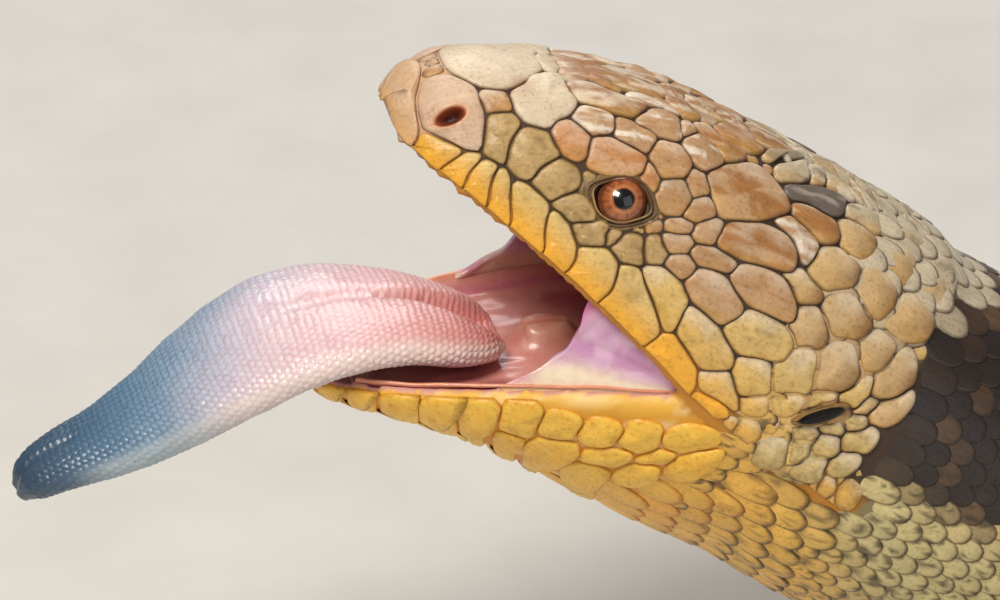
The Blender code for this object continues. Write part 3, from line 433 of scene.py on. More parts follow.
def footAxes(leg, side):
    plan = footShape[leg]
    wrist = limbLine(leg, side)[0][-1][:3]
    ahead = unit((plan["ahead"][0], plan["ahead"][1] * side, 0.0))
    return plan, wrist, ahead


palmShape = ((-0.42, 0.45, 3.2), (-0.3, 0.78, 5.2), (0.0, 0.92, 6.4), (0.35, 0.98, 5.2),
             (0.7, 1.0, 4.0), (0.92, 0.92, 3.2), (1.02, 0.6, 2.4))
toeShape = {"radius": 1.6}


def toeWays(leg, side):
    plan, wrist, ahead = footAxes(leg, side)
    straight = math.atan2(ahead[1], ahead[0])
    for spread, length in zip(toeSpread, plan["toes"]):
        turn = straight - side * math.radians(spread)
        way = np.array((math.cos(turn), math.sin(turn), 0.0))
        yield wrist + ahead * plan["palm"] * 0.62 + way * plan["wide"] * 0.35, way, length \
            + plan["wide"] * 0.5


def toePoint(start, way, length, share):
    point = start + way * length * share
    point[2] = toeShape["radius"] + 0.5 * math.sin(math.pi * share) - 0.35 * share
    return point, toeShape["radius"] * (1.05 - 0.28 * share)


def fleshPieces():
    down = hide["headDown"]
    alongs = headAlongs(skullShape, 0.12, -21.5, 90)
    rings = []
    for a in alongs:
        ring = headSection(skullShape, a, 0.0, 97, 31)
        outer = np.linspace(-1, 1, 97) * np.interp(a, headSheet.along, headSheet.girth)
        if a > headSheet.along[0]:
            even, normal = headSheet.at(a, outer)
            edge = stepUp(0, 1.5, np.abs(outer[0]) - np.abs(outer))[:, None]
            ring[:97] = (even - normal * down * edge)[::-1]
        rings.append(ring)
    yield loft("skull", rings)
    yield loft("jaw", [headSection(jawShape, a, hide["jawDown"], 81, 31)
                       for a in headAlongs(jawShape, 0.15, -11.5, 70)])
    yield loft("trunk", [bodySection(s, hide["bodyDown"]) for s in np.linspace(0.5, bodyRun[-1], 230)])
    for side in (-1, 1):
        for leg in ("foreleg", "hindleg"):
            rings = []
            for share in np.linspace(0, 1, 40):
                spot, way, radius = limbAt(leg, side, share)
                rings.append(limbRing(spot, way, radius - hide["legDown"], radius - hide["legDown"], 28))
            yield loft("leg", rings)
            plan, wrist, ahead = footAxes(leg, side)
            rings = []
            shares, halves, heights = np.array(palmShape).T
            for share in np.linspace(shares[0], shares[-1], 24):
                half, height = float(smooth(shares, halves, share)), float(smooth(shares, heights, share))
                centre = wrist + ahead * plan["palm"] * share
                centre[2] = height * 0.55
                rings.append(limbRing(centre, ahead, plan["wide"] * half - 0.2, height * 0.55 - 0.2, 28))
            yield loft("palm", rings)
            for start, way, length in toeWays(leg, side):
                rings = []
                for share in np.linspace(0, 1.02, 16):
                    point, radius = toePoint(start, way, length, share)
                    close = math.sqrt(max(1 - max(0, (share - 0.85) / 0.18) ** 2, 0.04))
                    rings.append(limbRing(point, way, (radius - 0.22) * close, (radius - 0.22) * close, 16))
                yield loft("toe", rings)


def growTogether():
    pieces = list(fleshPieces())
    bpy.ops.object.select_all(action="DESELECT")
    for piece in pieces:
        piece.select_set(True)
    bpy.context.view_layer.objects.active = pieces[0]
    bpy.ops.object.join()
    skin = bpy.context.view_layer.objects.active
    skin.name = skin.data.name = "skin"
    remesh = skin.modifiers.new("remesh", "REMESH")
    remesh.mode = "VOXEL"
    remesh.voxel_size = hide["voxel"] * mm
    remesh.use_smooth_shade = True
    bpy.ops.object.modifier_apply(modifier="remesh")
    even = skin.modifiers.new("even", "SMOOTH")
    even.factor = 0.5
    even.iterations = 3
    bpy.ops.object.modifier_apply(modifier="even")
    return skin


skin = growTogether()
skinPoints = np.array([v.co for v in skin.data.vertices]) / mm - modelShift
print("skin", len(skin.data.vertices), "points")

# Everything that lies on the skin is put together from arrays: plates of the head, then scales
skinTree = BVHTree.FromPolygons(skinPoints.tolist(), [p.vertices[:] for p in skin.data.polygons])


class Coat:  # many closed plates in one mesh, with their tint, their own flat places and an unwrap
    def __init__(self, name, material):
        self.name, self.material = name, material
        self.verts, self.quads, self.tris, self.tint, self.local, self.bake = [], [], [], [], [], []
        self.count = 0

    def add(self, verts, quads, tris, tint, local, bake):  # arrays for one plate or for many alike
        self.verts.append(verts.reshape(-1, 3))
        self.tint.append(tint.reshape(-1, 3))
        self.local.append(local.reshape(-1, 2))
        self.bake.append(bake.reshape(-1, 2))
        self.quads.append(quads + self.count)
        self.tris.append(tris + self.count)
        self.count += len(self.verts[-1])

    def build(self):
        verts = (np.vstack(self.verts) + modelShift) * mm
        verts[:, 2] = np.maximum(verts[:, 2], 0.0)
        quads, tris = np.vstack(self.quads), np.vstack(self.tris)
        corners = np.concatenate((quads.ravel(), tris.ravel()))
        mesh = bpy.data.meshes.new(self.name)
        mesh.vertices.add(len(verts))
        mesh.vertices.foreach_set("co", verts.ravel().astype(np.float32))
        mesh.loops.add(len(corners))
        mesh.loops.foreach_set("vertex_index", corners.astype(np.int32))
        mesh.polygons.add(len(quads) + len(tris))
        starts = np.concatenate((np.arange(len(quads)) * 4, len(quads) * 4 + np.arange(len(tris)) * 3))
        mesh.polygons.foreach_set("loop_start", starts.astype(np.int32))
        mesh.update(calc_edges=True)
        mesh.validate()
        paint(mesh, np.vstack(self.tint))
        for layerName, flatPlaces in (("OFBake", self.bake), ("Plate", self.local)):
            layer = mesh.uv_layers.new(name=layerName)
            layer.data.foreach_set("uv", np.vstack(flatPlaces)[corners].ravel().astype(np.float32))
        mesh.shade_smooth()
        obj = bpy.data.objects.new(self.name, mesh)
        bpy.context.scene.collection.objects.link(obj)
        mesh.materials.append(self.material)
        print(self.name, len(quads) * 2 + len(tris), "triangles")
        return obj


def plateFaces(around, rings):  # rings from the skirt inwards, then the middle above and the middle below
    quads, tris = [], []
    for i in range(rings - 1):
        for j in range(around):
            k = (j + 1) % around
            quads.append((i * around + j, i * around + k, (i + 1) * around + k, (i + 1) * around + j))
    top, under = rings * around, rings * around + 1
    for j in range(around):
        k = (j + 1) % around
        tris += [((rings - 1) * around + j, (rings - 1) * around + k, top), (k, j, under)]
    return np.array(quads), np.array(tris)


def roundOff(corners, count, passes=2):  # an outline with rounded corners and evenly spaced points
    points = np.asarray(corners, float)
    for _ in range(passes):
        after = np.roll(points, -1, axis=0)
        points = np.stack((points * 0.78 + after * 0.22, points * 0.22 + after * 0.78), 1).reshape(-1, 2)
    closed = np.vstack((points, points[:1]))
    run = np.concatenate(([0.0], np.cumsum(np.linalg.norm(np.diff(closed, axis=0), axis=1))))
    even = np.linspace(0, run[-1], count, endpoint=False)
    return np.column_stack([np.interp(even, run, closed[:, k]) for k in range(2)])


def readPlates(rows):  # finish and corners of each plate, its corners written as "x,y x,y"
    return {name: (finish, [tuple(float(n) for n in pair.split(",")) for pair in text.split()])
            for name, (finish, text) in rows.items()}


# Head shields: corners read off the photo, in its pixels, with the finish of each
headPlates = readPlates({
    "rostral": ("peach", "373,95 378,80 390,70 412,62 421,70 418,85 415,100 417,120 420,131 412,150 "
                         "395,130 383,112"),
    "nasal": ("nasal", "424,80 440,78 455,80 470,88 478,95 483,108 485,118 483,140 481,152 464,148 "
                       "440,138 421,131 416,115 416,98 419,85"),
    "postnasal": ("tan", "478,93 490,91 505,94 512,102 511,110 500,112 487,113 482,105"),
    "prefrontal": ("cream", "521,70 535,68 557,73 562,80 570,92 577,103 570,115 558,119 551,127 545,128 "
                            "530,122 520,118 513,105 510,92 518,80"),
    "lorealFront": ("olive", "487,114 500,112 515,115 520,121 514,135 508,150 505,165 495,161 484,155 "
                             "483,140"),
    "lorealBack": ("olive", "520,130 533,128 548,133 553,142 560,155 550,160 540,167 531,180 520,177 "
                            "507,167 508,150 513,138"),
    "preocular": ("olive", "552,163 560,160 570,172 573,180 570,192 562,196 550,202 540,192 532,182 "
                           "540,170"),
    "presubocular": ("olive", "551,203 562,196 573,195 582,205 595,220 585,222 570,222 560,214"),
    "subocular": ("olive", "571,223 597,223 605,232 606,240 603,246 585,246 577,240"),
    "labial1": ("lip", "419,131 440,139 464,151 445,165 437,175 425,166 412,150"),
    "labial2": ("lip", "472,151 482,156 468,173 458,197 447,190 437,176 440,169 455,159"),
    "labial3": ("lip", "484,158 499,165 490,178 483,215 470,210 459,198 468,175"),
    "labial4": ("lip", "501,168 508,171 510,195 507,231 495,225 485,216 491,190 497,172"),
    "labial5": ("lip", "513,181 528,186 550,203 544,230 541,262 525,246 508,231 511,200"),
    "labial6": ("lip", "550,210 560,212 570,228 576,252 574,262 565,275 552,266 541,258 544,235"),
    "labial7": ("lip", "578,247 608,249 618,265 612,290 600,300 590,305 577,288 566,275 569,270 578,258"),
    "labial8": ("lip", "620,265 641,268 645,285 655,310 661,335 640,352 620,335 592,308 612,292 619,275"),
    "labial9": ("orange", "659,335 673,334 680,345 699,375 690,392 681,397 655,372 639,354"),
    "rictal": ("orange", "693,393 705,396 725,405 722,415 690,422 683,410"),
    "browFront": ("brow", "555,122 567,119 580,125 591,136 588,150 586,157 570,155 560,150 552,135"),
    "overBrow1": ("flake", "571,117 580,106 598,110 612,117 615,130 600,133 592,136 582,128"),
    "brow": ("brow", "592,137 608,139 622,143 638,150 647,160 643,173 630,172 612,170 595,165 588,155"),
    "browBack": ("brow", "647,162 655,165 660,175 657,190 650,187 643,178"),
    "overBrow2": ("flake", "616,118 630,122 640,128 652,132 657,140 648,153 640,152 625,142 616,135"),
    "supraocularBack": ("flake", "640,113 650,110 662,109 672,113 680,125 682,137 675,142 660,137 "
                                 "650,130 636,121"),
    "overBrow3": ("tan", "650,152 660,139 675,143 685,150 692,162 688,175 675,178 660,178 652,165"),
    "temple1": ("tan", "662,182 672,179 683,181 690,190 692,202 685,212 678,215 668,208 658,195"),
    "temple2": ("tan", "690,170 700,172 708,180 711,192 700,196 693,198 687,186"),
    "temple3": ("tan", "692,200 704,197 713,201 717,210 712,219 700,221 688,219 683,213"),
    "temple4": ("tan", "700,223 716,218 723,225 722,235 712,242 700,242 692,236"),
    "temple5": ("tan", "691,250 700,246 712,250 728,258 735,265 731,272 715,268 698,262"),
    "temporal1": ("caramel", "706,175 722,167 740,164 760,170 775,188 783,200 785,210 765,213 740,219 "
                             "720,217 715,205 711,190"),
    "temporal2": ("caramel", "722,228 735,222 755,228 780,235 790,250 791,262 785,269 765,262 745,257 "
                             "725,250 717,240"),
    "underEye1": ("olive", "610,246 622,240 637,241 643,252 641,265 628,264 617,257"),
    "underEye2": ("olive", "644,253 650,242 660,241 667,255 663,264 650,265"),
    "underEye3": ("tan", "664,241 672,236 690,237 693,245 685,252 670,252"),
    "underEye4": ("tan", "664,262 675,256 687,257 693,268 690,277 680,278 670,270"),
    "underEye5": ("tan", "672,222 682,219 691,224 692,231 680,233 673,230"),
    "underEye6": ("olive", "606,236 611,233 617,238 616,245 608,246"),
    "cheek1": ("cheek", "641,268 660,266 672,275 684,290 687,300 680,320 672,332 663,330 655,305 645,283"),
    "cheek2": ("cheek", "688,306 705,318 725,340 735,362 730,370 700,369 690,352 676,333 682,318"),
    "cheek3": ("tan", "684,281 700,271 715,273 728,283 737,300 743,313 735,320 720,324 705,308 690,297"),
    "cheek4": ("tan", "730,275 742,267 760,270 775,278 785,292 791,305 788,318 775,315 755,305 738,292"),
    "cheek5": ("cheek", "724,327 740,315 750,313 768,319 782,332 788,345 786,360 775,361 755,357 738,352 "
                        "728,340"),
    "cheek6": ("cheek", "731,370 737,360 755,359 770,363 771,380 768,393 755,395 738,396 734,385"),
    "cheek7": ("cheek", "698,373 715,373 730,372 735,385 738,400 735,407 720,402 705,393 697,382"),
    "cheek9": ("cheek", "738,398 768,397 770,405 760,412 745,408"),
    "cheek10": ("cheek", "770,396 800,394 797,406 785,412 772,408"),
    "supraocular": ("crown", "563,81 586,80 608,90 628,99 646,104 646,110 636,117 620,112 606,107 "
                             "592,103 576,100"),
    "temple6": ("flake", "681,143 696,133 706,141 720,152 723,163 715,168 702,170 692,160"),
    "cheek8": ("cheek", "773,366 784,360 796,355 810,355 811,363 806,376 806,386 801,392 784,394 773,392"),
    "farPrefrontal": ("cream", "500,48 520,48 540,50 548,55 557,62 556,73 540,70 523,68 512,58"),
    "crownFar": ("crown", "538,50 552,49 570,52 578,60 577,65 568,63 555,60 545,54"),
    "crownNear": ("crown", "557,61 577,65 600,75 618,80 624,92 620,94 604,88 586,79 557,76"),
    "crown1": ("flake", "570,50 584,49 600,56 618,76 618,79 610,78 592,72 577,63"),
    "crown2": ("flake", "592,53 608,60 620,70 634,81 632,84 620,82 618,77 602,62"),
    "crown3": ("flake", "608,55 632,60 652,71 657,78 650,83 646,87 636,82 620,66"),
    "crown4": ("flake", "620,87 640,90 660,100 678,114 672,116 660,107 646,105 628,99"),
    "crown5": ("crown", "646,88 660,84 672,92 682,104 695,114 694,118 682,115 668,104"),
    "crown6": ("crown", "658,78 674,82 692,92 706,104 720,118 726,126 710,118 696,108 680,96"),
    "crown7": ("crown", "692,90 720,104 740,118 754,130 756,138 742,138 720,120"),
    "temple7": ("flake", "680,124 688,122 695,131 692,134 681,136"),
    "temple8": ("caramel", "695,124 708,126 720,142 738,148 742,160 724,161 718,150 706,138"),
    "temple9": ("caramel", "716,126 738,130 752,140 760,150 742,148 728,140"),
})
# The same for the side of the neck and the scales round the ear, and for the lower jaw
neckPlates = readPlates({
    "nape1": ("pale", "755,128 770,132 782,139 786,143 766,142 760,138"),
    "nape2": ("pale", "761,146 780,145 796,150 806,159 780,162 770,158 763,153"),
    "nape3": ("pale", "778,165 800,163 808,170 810,179 800,183 788,182 782,176"),
    "nape4": ("pale", "804,166 816,169 824,179 824,185 812,184 810,178"),
    "nape5": ("pale", "808,158 828,164 838,174 826,172"),
    "nape6": ("pale", "826,180 840,178 850,184 849,192 844,195 828,188"),
    "streak1": ("dark", "782,186 812,188 840,198 843,215 828,218 808,204 784,200"),
    "streak2": ("caramel", "786,202 804,204 820,212 838,228 840,242 820,244 804,228 788,212"),
    "temporal3": ("flake", "776,217 788,214 802,226 814,238 817,250 810,262 802,266 793,258 790,248 "
                           "780,233"),
    "side1": ("neck", "836,223 848,220 864,228 874,240 875,250 862,261 848,256 840,243"),
    "side2": ("neck", "820,248 838,249 848,258 858,267 860,278 857,286 840,288 822,292 811,283 806,273 "
                      "812,264"),
    "side3": ("neck", "784,274 794,266 806,274 818,284 824,298 819,303 800,304 792,296 788,285"),
    "side4": ("neck", "876,242 892,239 906,248 913,264 914,280 908,289 896,290 888,278 880,264"),
    "side5": ("neck", "861,267 874,261 885,273 894,286 897,300 892,312 880,318 868,316 860,302 855,290"),
    "side6": ("neck", "824,295 848,293 858,301 866,316 868,328 860,338 844,338 829,335 826,320 820,309"),
    "side7": ("neck", "793,308 816,306 824,318 828,332 826,344 816,353 795,353 788,345 789,330 792,318"),
    "nape7": ("pale", "880,222 895,224 910,234 922,245 918,252 906,248 892,238 884,232"),
    "nape8": ("pale", "843,208 858,207 872,218 878,232 873,238 863,228 848,219"),
    "nape9": ("pale", "850,188 866,192 878,202 877,212 862,203 848,196"),
    "nape10": ("pale", "878,197 896,203 912,216 905,222 890,217 879,210"),
    "side8": ("pale", "915,268 922,252 940,258 948,280 944,298 926,304 914,292"),
    "side9": ("neck", "898,293 912,293 922,308 926,322 922,336 907,338 892,332 884,321 893,311 897,300"),
    "side10": ("neck", "812,368 816,356 828,343 840,340 852,344 858,360 858,375 851,387 840,391 820,391 "
                       "808,389 806,379"),
    "side11": ("neck", "860,342 873,333 886,338 892,352 890,363 880,372 866,372 859,364 858,353"),
    "side12": ("neck", "875,374 884,368 894,355 907,352 910,366 906,384 899,394 886,399 870,396"),
    "side13": ("neck", "858,408 866,398 878,400 877,408 864,414 852,413"),
    "side14": ("neck", "880,402 900,398 908,391 907,404 900,411 884,422 870,423 868,417 873,408"),
    "cheek11": ("cheek", "802,397 812,392 836,392 834,400 820,410 804,415 795,411"),
    "cheek12": ("cheek", "838,400 842,393 856,386 864,376 872,375 872,384 867,395 856,407 846,409 "
                         "837,406"),
    "ear1": ("side", "821,428 827,420 840,421 844,428 840,434 829,434"),
    "ear2": ("side", "842,420 848,415 866,416 866,426 858,430 845,429"),
    "ear3": ("side", "798,438 802,432 814,431 816,436 810,440"),
    "ear4": ("side", "811,448 818,440 828,435 838,438 839,448 834,456 820,456"),
    "ear5": ("side", "841,445 845,434 860,432 870,427 873,433 869,442 858,450 843,451"),
    "ear6": ("side", "792,458 793,450 800,443 809,443 808,452 800,460"),
    "ear7": ("side", "756,458 760,452 768,444 780,442 785,448 780,460 764,461"),
    "ear8": ("side", "794,470 804,462 814,458 828,459 822,470 812,475 800,474"),
    "ear9": ("side", "824,470 831,460 844,453 857,454 852,464 840,470"),
})
jawPlates = readPlates({
    "chin1": ("gold", "314,390 339,383 350,378 342,392 332,396 322,395"),
    "chin2": ("gold", "333,396 350,380 386,384 371,402 362,408 347,404"),
    "chin3": ("gold", "367,405 386,384 426,387 419,401 404,420 386,415"),
    "chin4": ("gold", "407,419 419,401 431,387 470,387 464,398 452,422 446,432 425,428"),
    "chin5": ("gold", "450,428 464,404 476,398 501,402 497,425 485,439 467,436"),
    "chin6": ("gold", "497,429 501,410 509,404 539,411 540,419 534,435 527,441 506,435"),
    "chin7": ("gold", "536,434 543,419 551,417 582,422 578,437 563,444 548,441"),
    "chin8": ("gold", "573,437 585,425 623,428 623,437 605,451 590,448"),
    "chin9": ("gold", "615,444 626,429 659,429 660,443 650,454 629,453"),
    "chin10": ("gold", "662,444 665,435 710,431 717,437 710,449 689,454 671,453"),
    "under1": ("gold", "479,438 500,432 530,440 524,450 506,449"),
    "under2": ("gold", "510,452 536,437 582,444 578,458 560,464 530,458"),
    "under3": ("gold", "575,461 587,449 635,452 626,464 608,468 590,465"),
    "under4": ("gold", "632,464 650,453 680,453 668,464 650,466"),
    "under5": ("gold", "662,470 689,453 722,452 710,467 686,477 671,476"),
    "under6": ("gold", "557,466 584,464 611,470 605,480 575,479"),
    "under7": ("gold", "608,479 632,465 662,468 650,480 626,482"),
})
# Shields over the middle of the crown: half of each, as millimetres along and round
crownPlates = readPlates({
    "frontonasal": ("cream", "42,0 41.6,2.6 39.5,4.9 35.5,5.4 33.2,3.2 32.4,0"),
    "frontal": ("crown", "31.2,0 30.2,1.6 27,3.1 23,2.9 19.6,1.6 18.6,0"),
    "interparietal": ("crown", "14.8,0 13.8,1.7 10,2.3 6.2,1.5 5.2,0"),
})
print(len(headPlates) + len(neckPlates) + len(jawPlates), "shields read from the photo")


def hue(*levels):  # a colour as a screen shows it, from 0 to 255, made linear
    share = np.array(levels, float) / 255
    return np.where(share < 0.04045, share / 12.92, ((share + 0.055) / 1.055) ** 2.4)


def mix(first, second, share):
    return first + (second - first) * np.asarray(share, float)[..., None]


def speckle(points, size, seed):  # -1 to 1, in two sizes
    return 0.65 * grain(points, size, seed) + 0.35 * grain(points, size * 0.45, seed + 5)


# Where the photo's pixels fall on the skin, and a patch that lies on it anywhere
eyePoint = viewAim + viewBack * shot["distance"]
skinSeen = seenAt(skinPoints)


def onSkin(pixels):
    found = []
    for pixel in np.asarray(pixels, float):
        offset = (pixel - frameMiddle) * shot["pixel"]
        aim = viewAim + viewRight * offset[0] - viewUp * offset[1]
        spot = skinTree.ray_cast(Vector(eyePoint), Vector(unit(aim - eyePoint)))[0]
        if spot is None:
            spot = skinPoints[np.argmin(np.hypot(*(skinSeen - pixel).T))]
        found.append(np.array(spot))
    return np.array(found)


def drop(points, ways, reach=3.0, depth=7.0):  # straight down on to the skin, from a little above it
    landed = np.array(points, float)
    missed = np.ones(len(landed), bool)
    starts = landed + ways * reach
    for i, (start, way) in enumerate(zip(starts.tolist(), (-ways).tolist())):
        spot = skinTree.ray_cast(start, way, depth)[0]
        if spot is not None:
            landed[i] = spot
            missed[i] = False
    return landed, missed


class Drape:
    def __init__(self, pixels):
        corners = onSkin(pixels)
        self.middle = corners.mean(axis=0)
        out = np.mean([np.array(skinTree.find_nearest(corner.tolist())[1]) for corner in corners], axis=0)
        out = unit(out)
        ahead = skullAxes[0] * 0.6 + np.array((-0.75, 0, 0.35)) * 0.4
        ahead = unit(ahead - out * np.dot(ahead, out))
        self.axes = np.array((ahead, np.cross(out, ahead), out))
        self.flat = (corners - self.middle) @ self.axes[:2].T

    def at(self, along, roundAt, rise=0.0):
        places = self.middle + np.outer(along, self.axes[0]) + np.outer(roundAt, self.axes[1])
        ways = np.broadcast_to(self.axes[2], places.shape)
        landed, missed = drop(places, ways)
        if missed.any() and not missed.all():
            level = ((landed - self.middle) @ self.axes[2])[~missed].mean()
            landed[missed] += self.axes[2] * level
        return landed + self.axes[2] * np.asarray(rise)[..., None], ways


# Outlines are grown until they nearly meet, and drawn back where two readings overlap
def polygonDistance(points, polygon):  # below 0 inside
    a, b = polygon, np.roll(polygon, -1, axis=0)
    way = b - a
    fromCorner = points[:, None] - a
    share = np.clip(np.sum(fromCorner * way, -1) / np.maximum(np.sum(way * way, -1), 1e-9), 0, 1)
    near = np.linalg.norm(fromCorner - share[..., None] * way, axis=-1).min(axis=1)
    with np.errstate(divide="ignore", invalid="ignore"):
        crossing = a[:, 0] + (points[:, 1:] - a[:, 1]) / (b[:, 1] - a[:, 1]) * way[:, 0]
    passes = ((a[:, 1] > points[:, 1:]) != (b[:, 1] > points[:, 1:])) & (points[:, :1] < crossing)
    return np.where(passes.sum(axis=1) % 2 == 1, -near, near)


def fitTogether(outlines, gap, most, fixed=()):
    everything = list(outlines) + list(fixed)
    middles = np.array([o.mean(axis=0) for o in everything])
    sizes = np.array([np.linalg.norm(o - m, axis=1).max() for o, m in zip(everything, middles)])
    steps = np.arange(-0.9, most + 0.01, 0.05)
    grown = []
    for i, outline in enumerate(outlines):
        middle = middles[i]
        away = outline - middle
        reach = np.linalg.norm(away, axis=1)
        way = away / reach[:, None]
        trial = outline[:, None] + way[:, None] * steps[None, :, None]
        nearest = np.full(trial.shape[:2], 9.0)
        for j, other in enumerate(everything):
            if j != i and np.linalg.norm(middles[j] - middle) < sizes[i] + sizes[j] + 2 * most:
                apart = polygonDistance(trial.reshape(-1, 2), other).reshape(nearest.shape)
                share = 1.0 if j < len(outlines) else 0.0
                nearest = np.minimum(nearest, apart - (steps * share + gap))
        clear = np.logical_and.accumulate(nearest >= 0, axis=1)
        best = steps[np.maximum(clear.sum(axis=1) - 1, 0)]
        best = np.maximum(best, -0.55 * reach)
        even = (np.roll(best, 1) + 2 * best + np.roll(best, -1)) / 4
        grown.append(outline + way * np.minimum(even, best + 0.04)[:, None])
    return grown


plateShape = {"gap": 0.10, "most": 0.85, "thick": 0.36, "sunk": 0.5, "bevel": 0.15, "dome": 0.16,
              "tilt": 0.10}
# in from the edge, of the skirt and of the first rings
plateDepths = (0.0, 0.0, 0.04, 0.10, 0.19, 0.33, 0.55)
plateInner = (0.78, 0.55, 0.3)


def plateOutline(corners, count=40):
    outline = roundOff(corners, count)
    area = np.sum(outline[:, 0] * np.roll(outline[:, 1], -1) - np.roll(outline[:, 0], -1) * outline[:, 1])
    return outline if area > 0 else outline[::-1]


plateColours = {  # the middle, the colour of its streaks or specks, and its rim
    "peach": (hue(208, 168, 128), hue(228, 200, 168), hue(150, 105, 70)),
    "nasal": (hue(206, 172, 142), hue(224, 196, 168), hue(120, 82, 56)),
    "cream": (hue(214, 192, 162), hue(176, 136, 94), hue(120, 84, 54)),
    "tan": (hue(180, 134, 88), hue(218, 188, 150), hue(84, 56, 34)),
    "olive": (hue(188, 154, 98), hue(138, 106, 56), hue(92, 66, 34)),
    "lip": (hue(214, 180, 112), hue(178, 146, 84), hue(110, 80, 36)),
    "orange": (hue(240, 176, 72), hue(222, 160, 70), hue(170, 110, 40)),
    "brow": (hue(190, 128, 74), hue(228, 200, 170), hue(90, 56, 32)),
    "flake": (hue(180, 138, 96), hue(230, 214, 192), hue(86, 58, 40)),
    "crown": (hue(160, 112, 70), hue(226, 206, 178), hue(78, 50, 32)),
    "caramel": (hue(166, 112, 60), hue(216, 184, 146), hue(66, 42, 26)),
    "cheek": (hue(214, 178, 106), hue(160, 128, 66), hue(112, 84, 40)),
    "pale": (hue(196, 176, 142), hue(112, 92, 72), hue(58, 44, 34)),
    "dark": (hue(104, 90, 78), hue(196, 182, 164), hue(40, 32, 28)),
    "neck": (hue(204, 168, 116), hue(138, 94, 50), hue(60, 42, 24)),
    "side": (hue(202, 174, 112), hue(156, 124, 66), hue(78, 58, 28)),
    "gold": (hue(244, 190, 70), hue(232, 164, 44), hue(196, 122, 26)),
}
streaked = {"flake": 0.9, "crown": 0.8, "caramel": 0.5, "brow": 0.3, "pale": 0.6, "dark": 0.5, "tan": 0.25}
# reach, amount
lipGold = {"lip": (4.2, 0.95), "orange": (6.0, 0.8), "cheek": (8.0, 0.5), "peach": (2.4, 0.3)}


def plateTint(finish, points, along, roundAt, edge, seed, fromLip, flat):
    main, other, rim = plateColours[finish]
    if finish in streaked:  # pale streaks that run along the head
        lined = np.column_stack((along * 0.30, roundAt * 1.7, np.full(len(along), seed * 3.7)))
        share = stepUp(0.0, 0.5, grain(lined, 1.0, 11)
                       + 0.35 * grain(lined * 2.6, 1.0, 12)) * streaked[finish]
    elif finish in ("cream", "peach", "nasal"):
        share = 0.55 * stepUp(0.1, 0.8, speckle(points, 3.2, 21))
    elif finish == "neck":  # darker to the rear and below, with hatching
        share = stepUp(-0.2, 1.0, -flat[:, 0] * 0.8 + flat[:, 1] * 0.35 + 0.35 * speckle(points, 1.2, 23))
    else:
        share = 0.6 * stepUp(0.0, 0.55, speckle(points, 0.6, 31)) \
            + 0.35 * stepUp(0, 0.8, speckle(points, 2.2, 32))
    colour = mix(main, other, np.clip(share, 0, 1))
    if finish in lipGold:
        reach, amount = lipGold[finish]
        colour = mix(colour, hue(240, 168, 34), (1 - stepUp(0.2, reach, fromLip)) * amount)
    soft = 0.35 if finish in ("neck", "side", "cheek", "olive") else 0.22
    if finish in ("neck", "side", "pale", "caramel"):  # the rear edge is broadly dark
        soft = soft + 0.35 * stepUp(0.2, 0.9, -flat[:, 0])
    colour = mix(colour, rim, (1 - stepUp(0.0, 1.0,
                                          edge / soft)) * (0.5 if finish in ("gold", "orange") else 0.85))
    # a painted highlight lightens the upper side of each plate; golden below
    if finish in ("tan", "caramel", "neck", "side", "brow", "pale", "crown", "cheek"):
        colour = mix(colour, hue(236, 220, 198),
                     0.40 * stepUp(0.05, 0.95, -flat[:, 1] + 0.5 * grain(points, 1.6, 43)))
        colour = mix(colour, hue(206, 156, 74),
                     0.40 * stepUp(0.1, 0.95, flat[:, 1] + 0.4 * grain(points, 1.6, 44)))
    return colour * (1 + 0.12 * grain(points, 1.1, 41) + 0.07 * grain(points, 4.0, 42))[:, None]


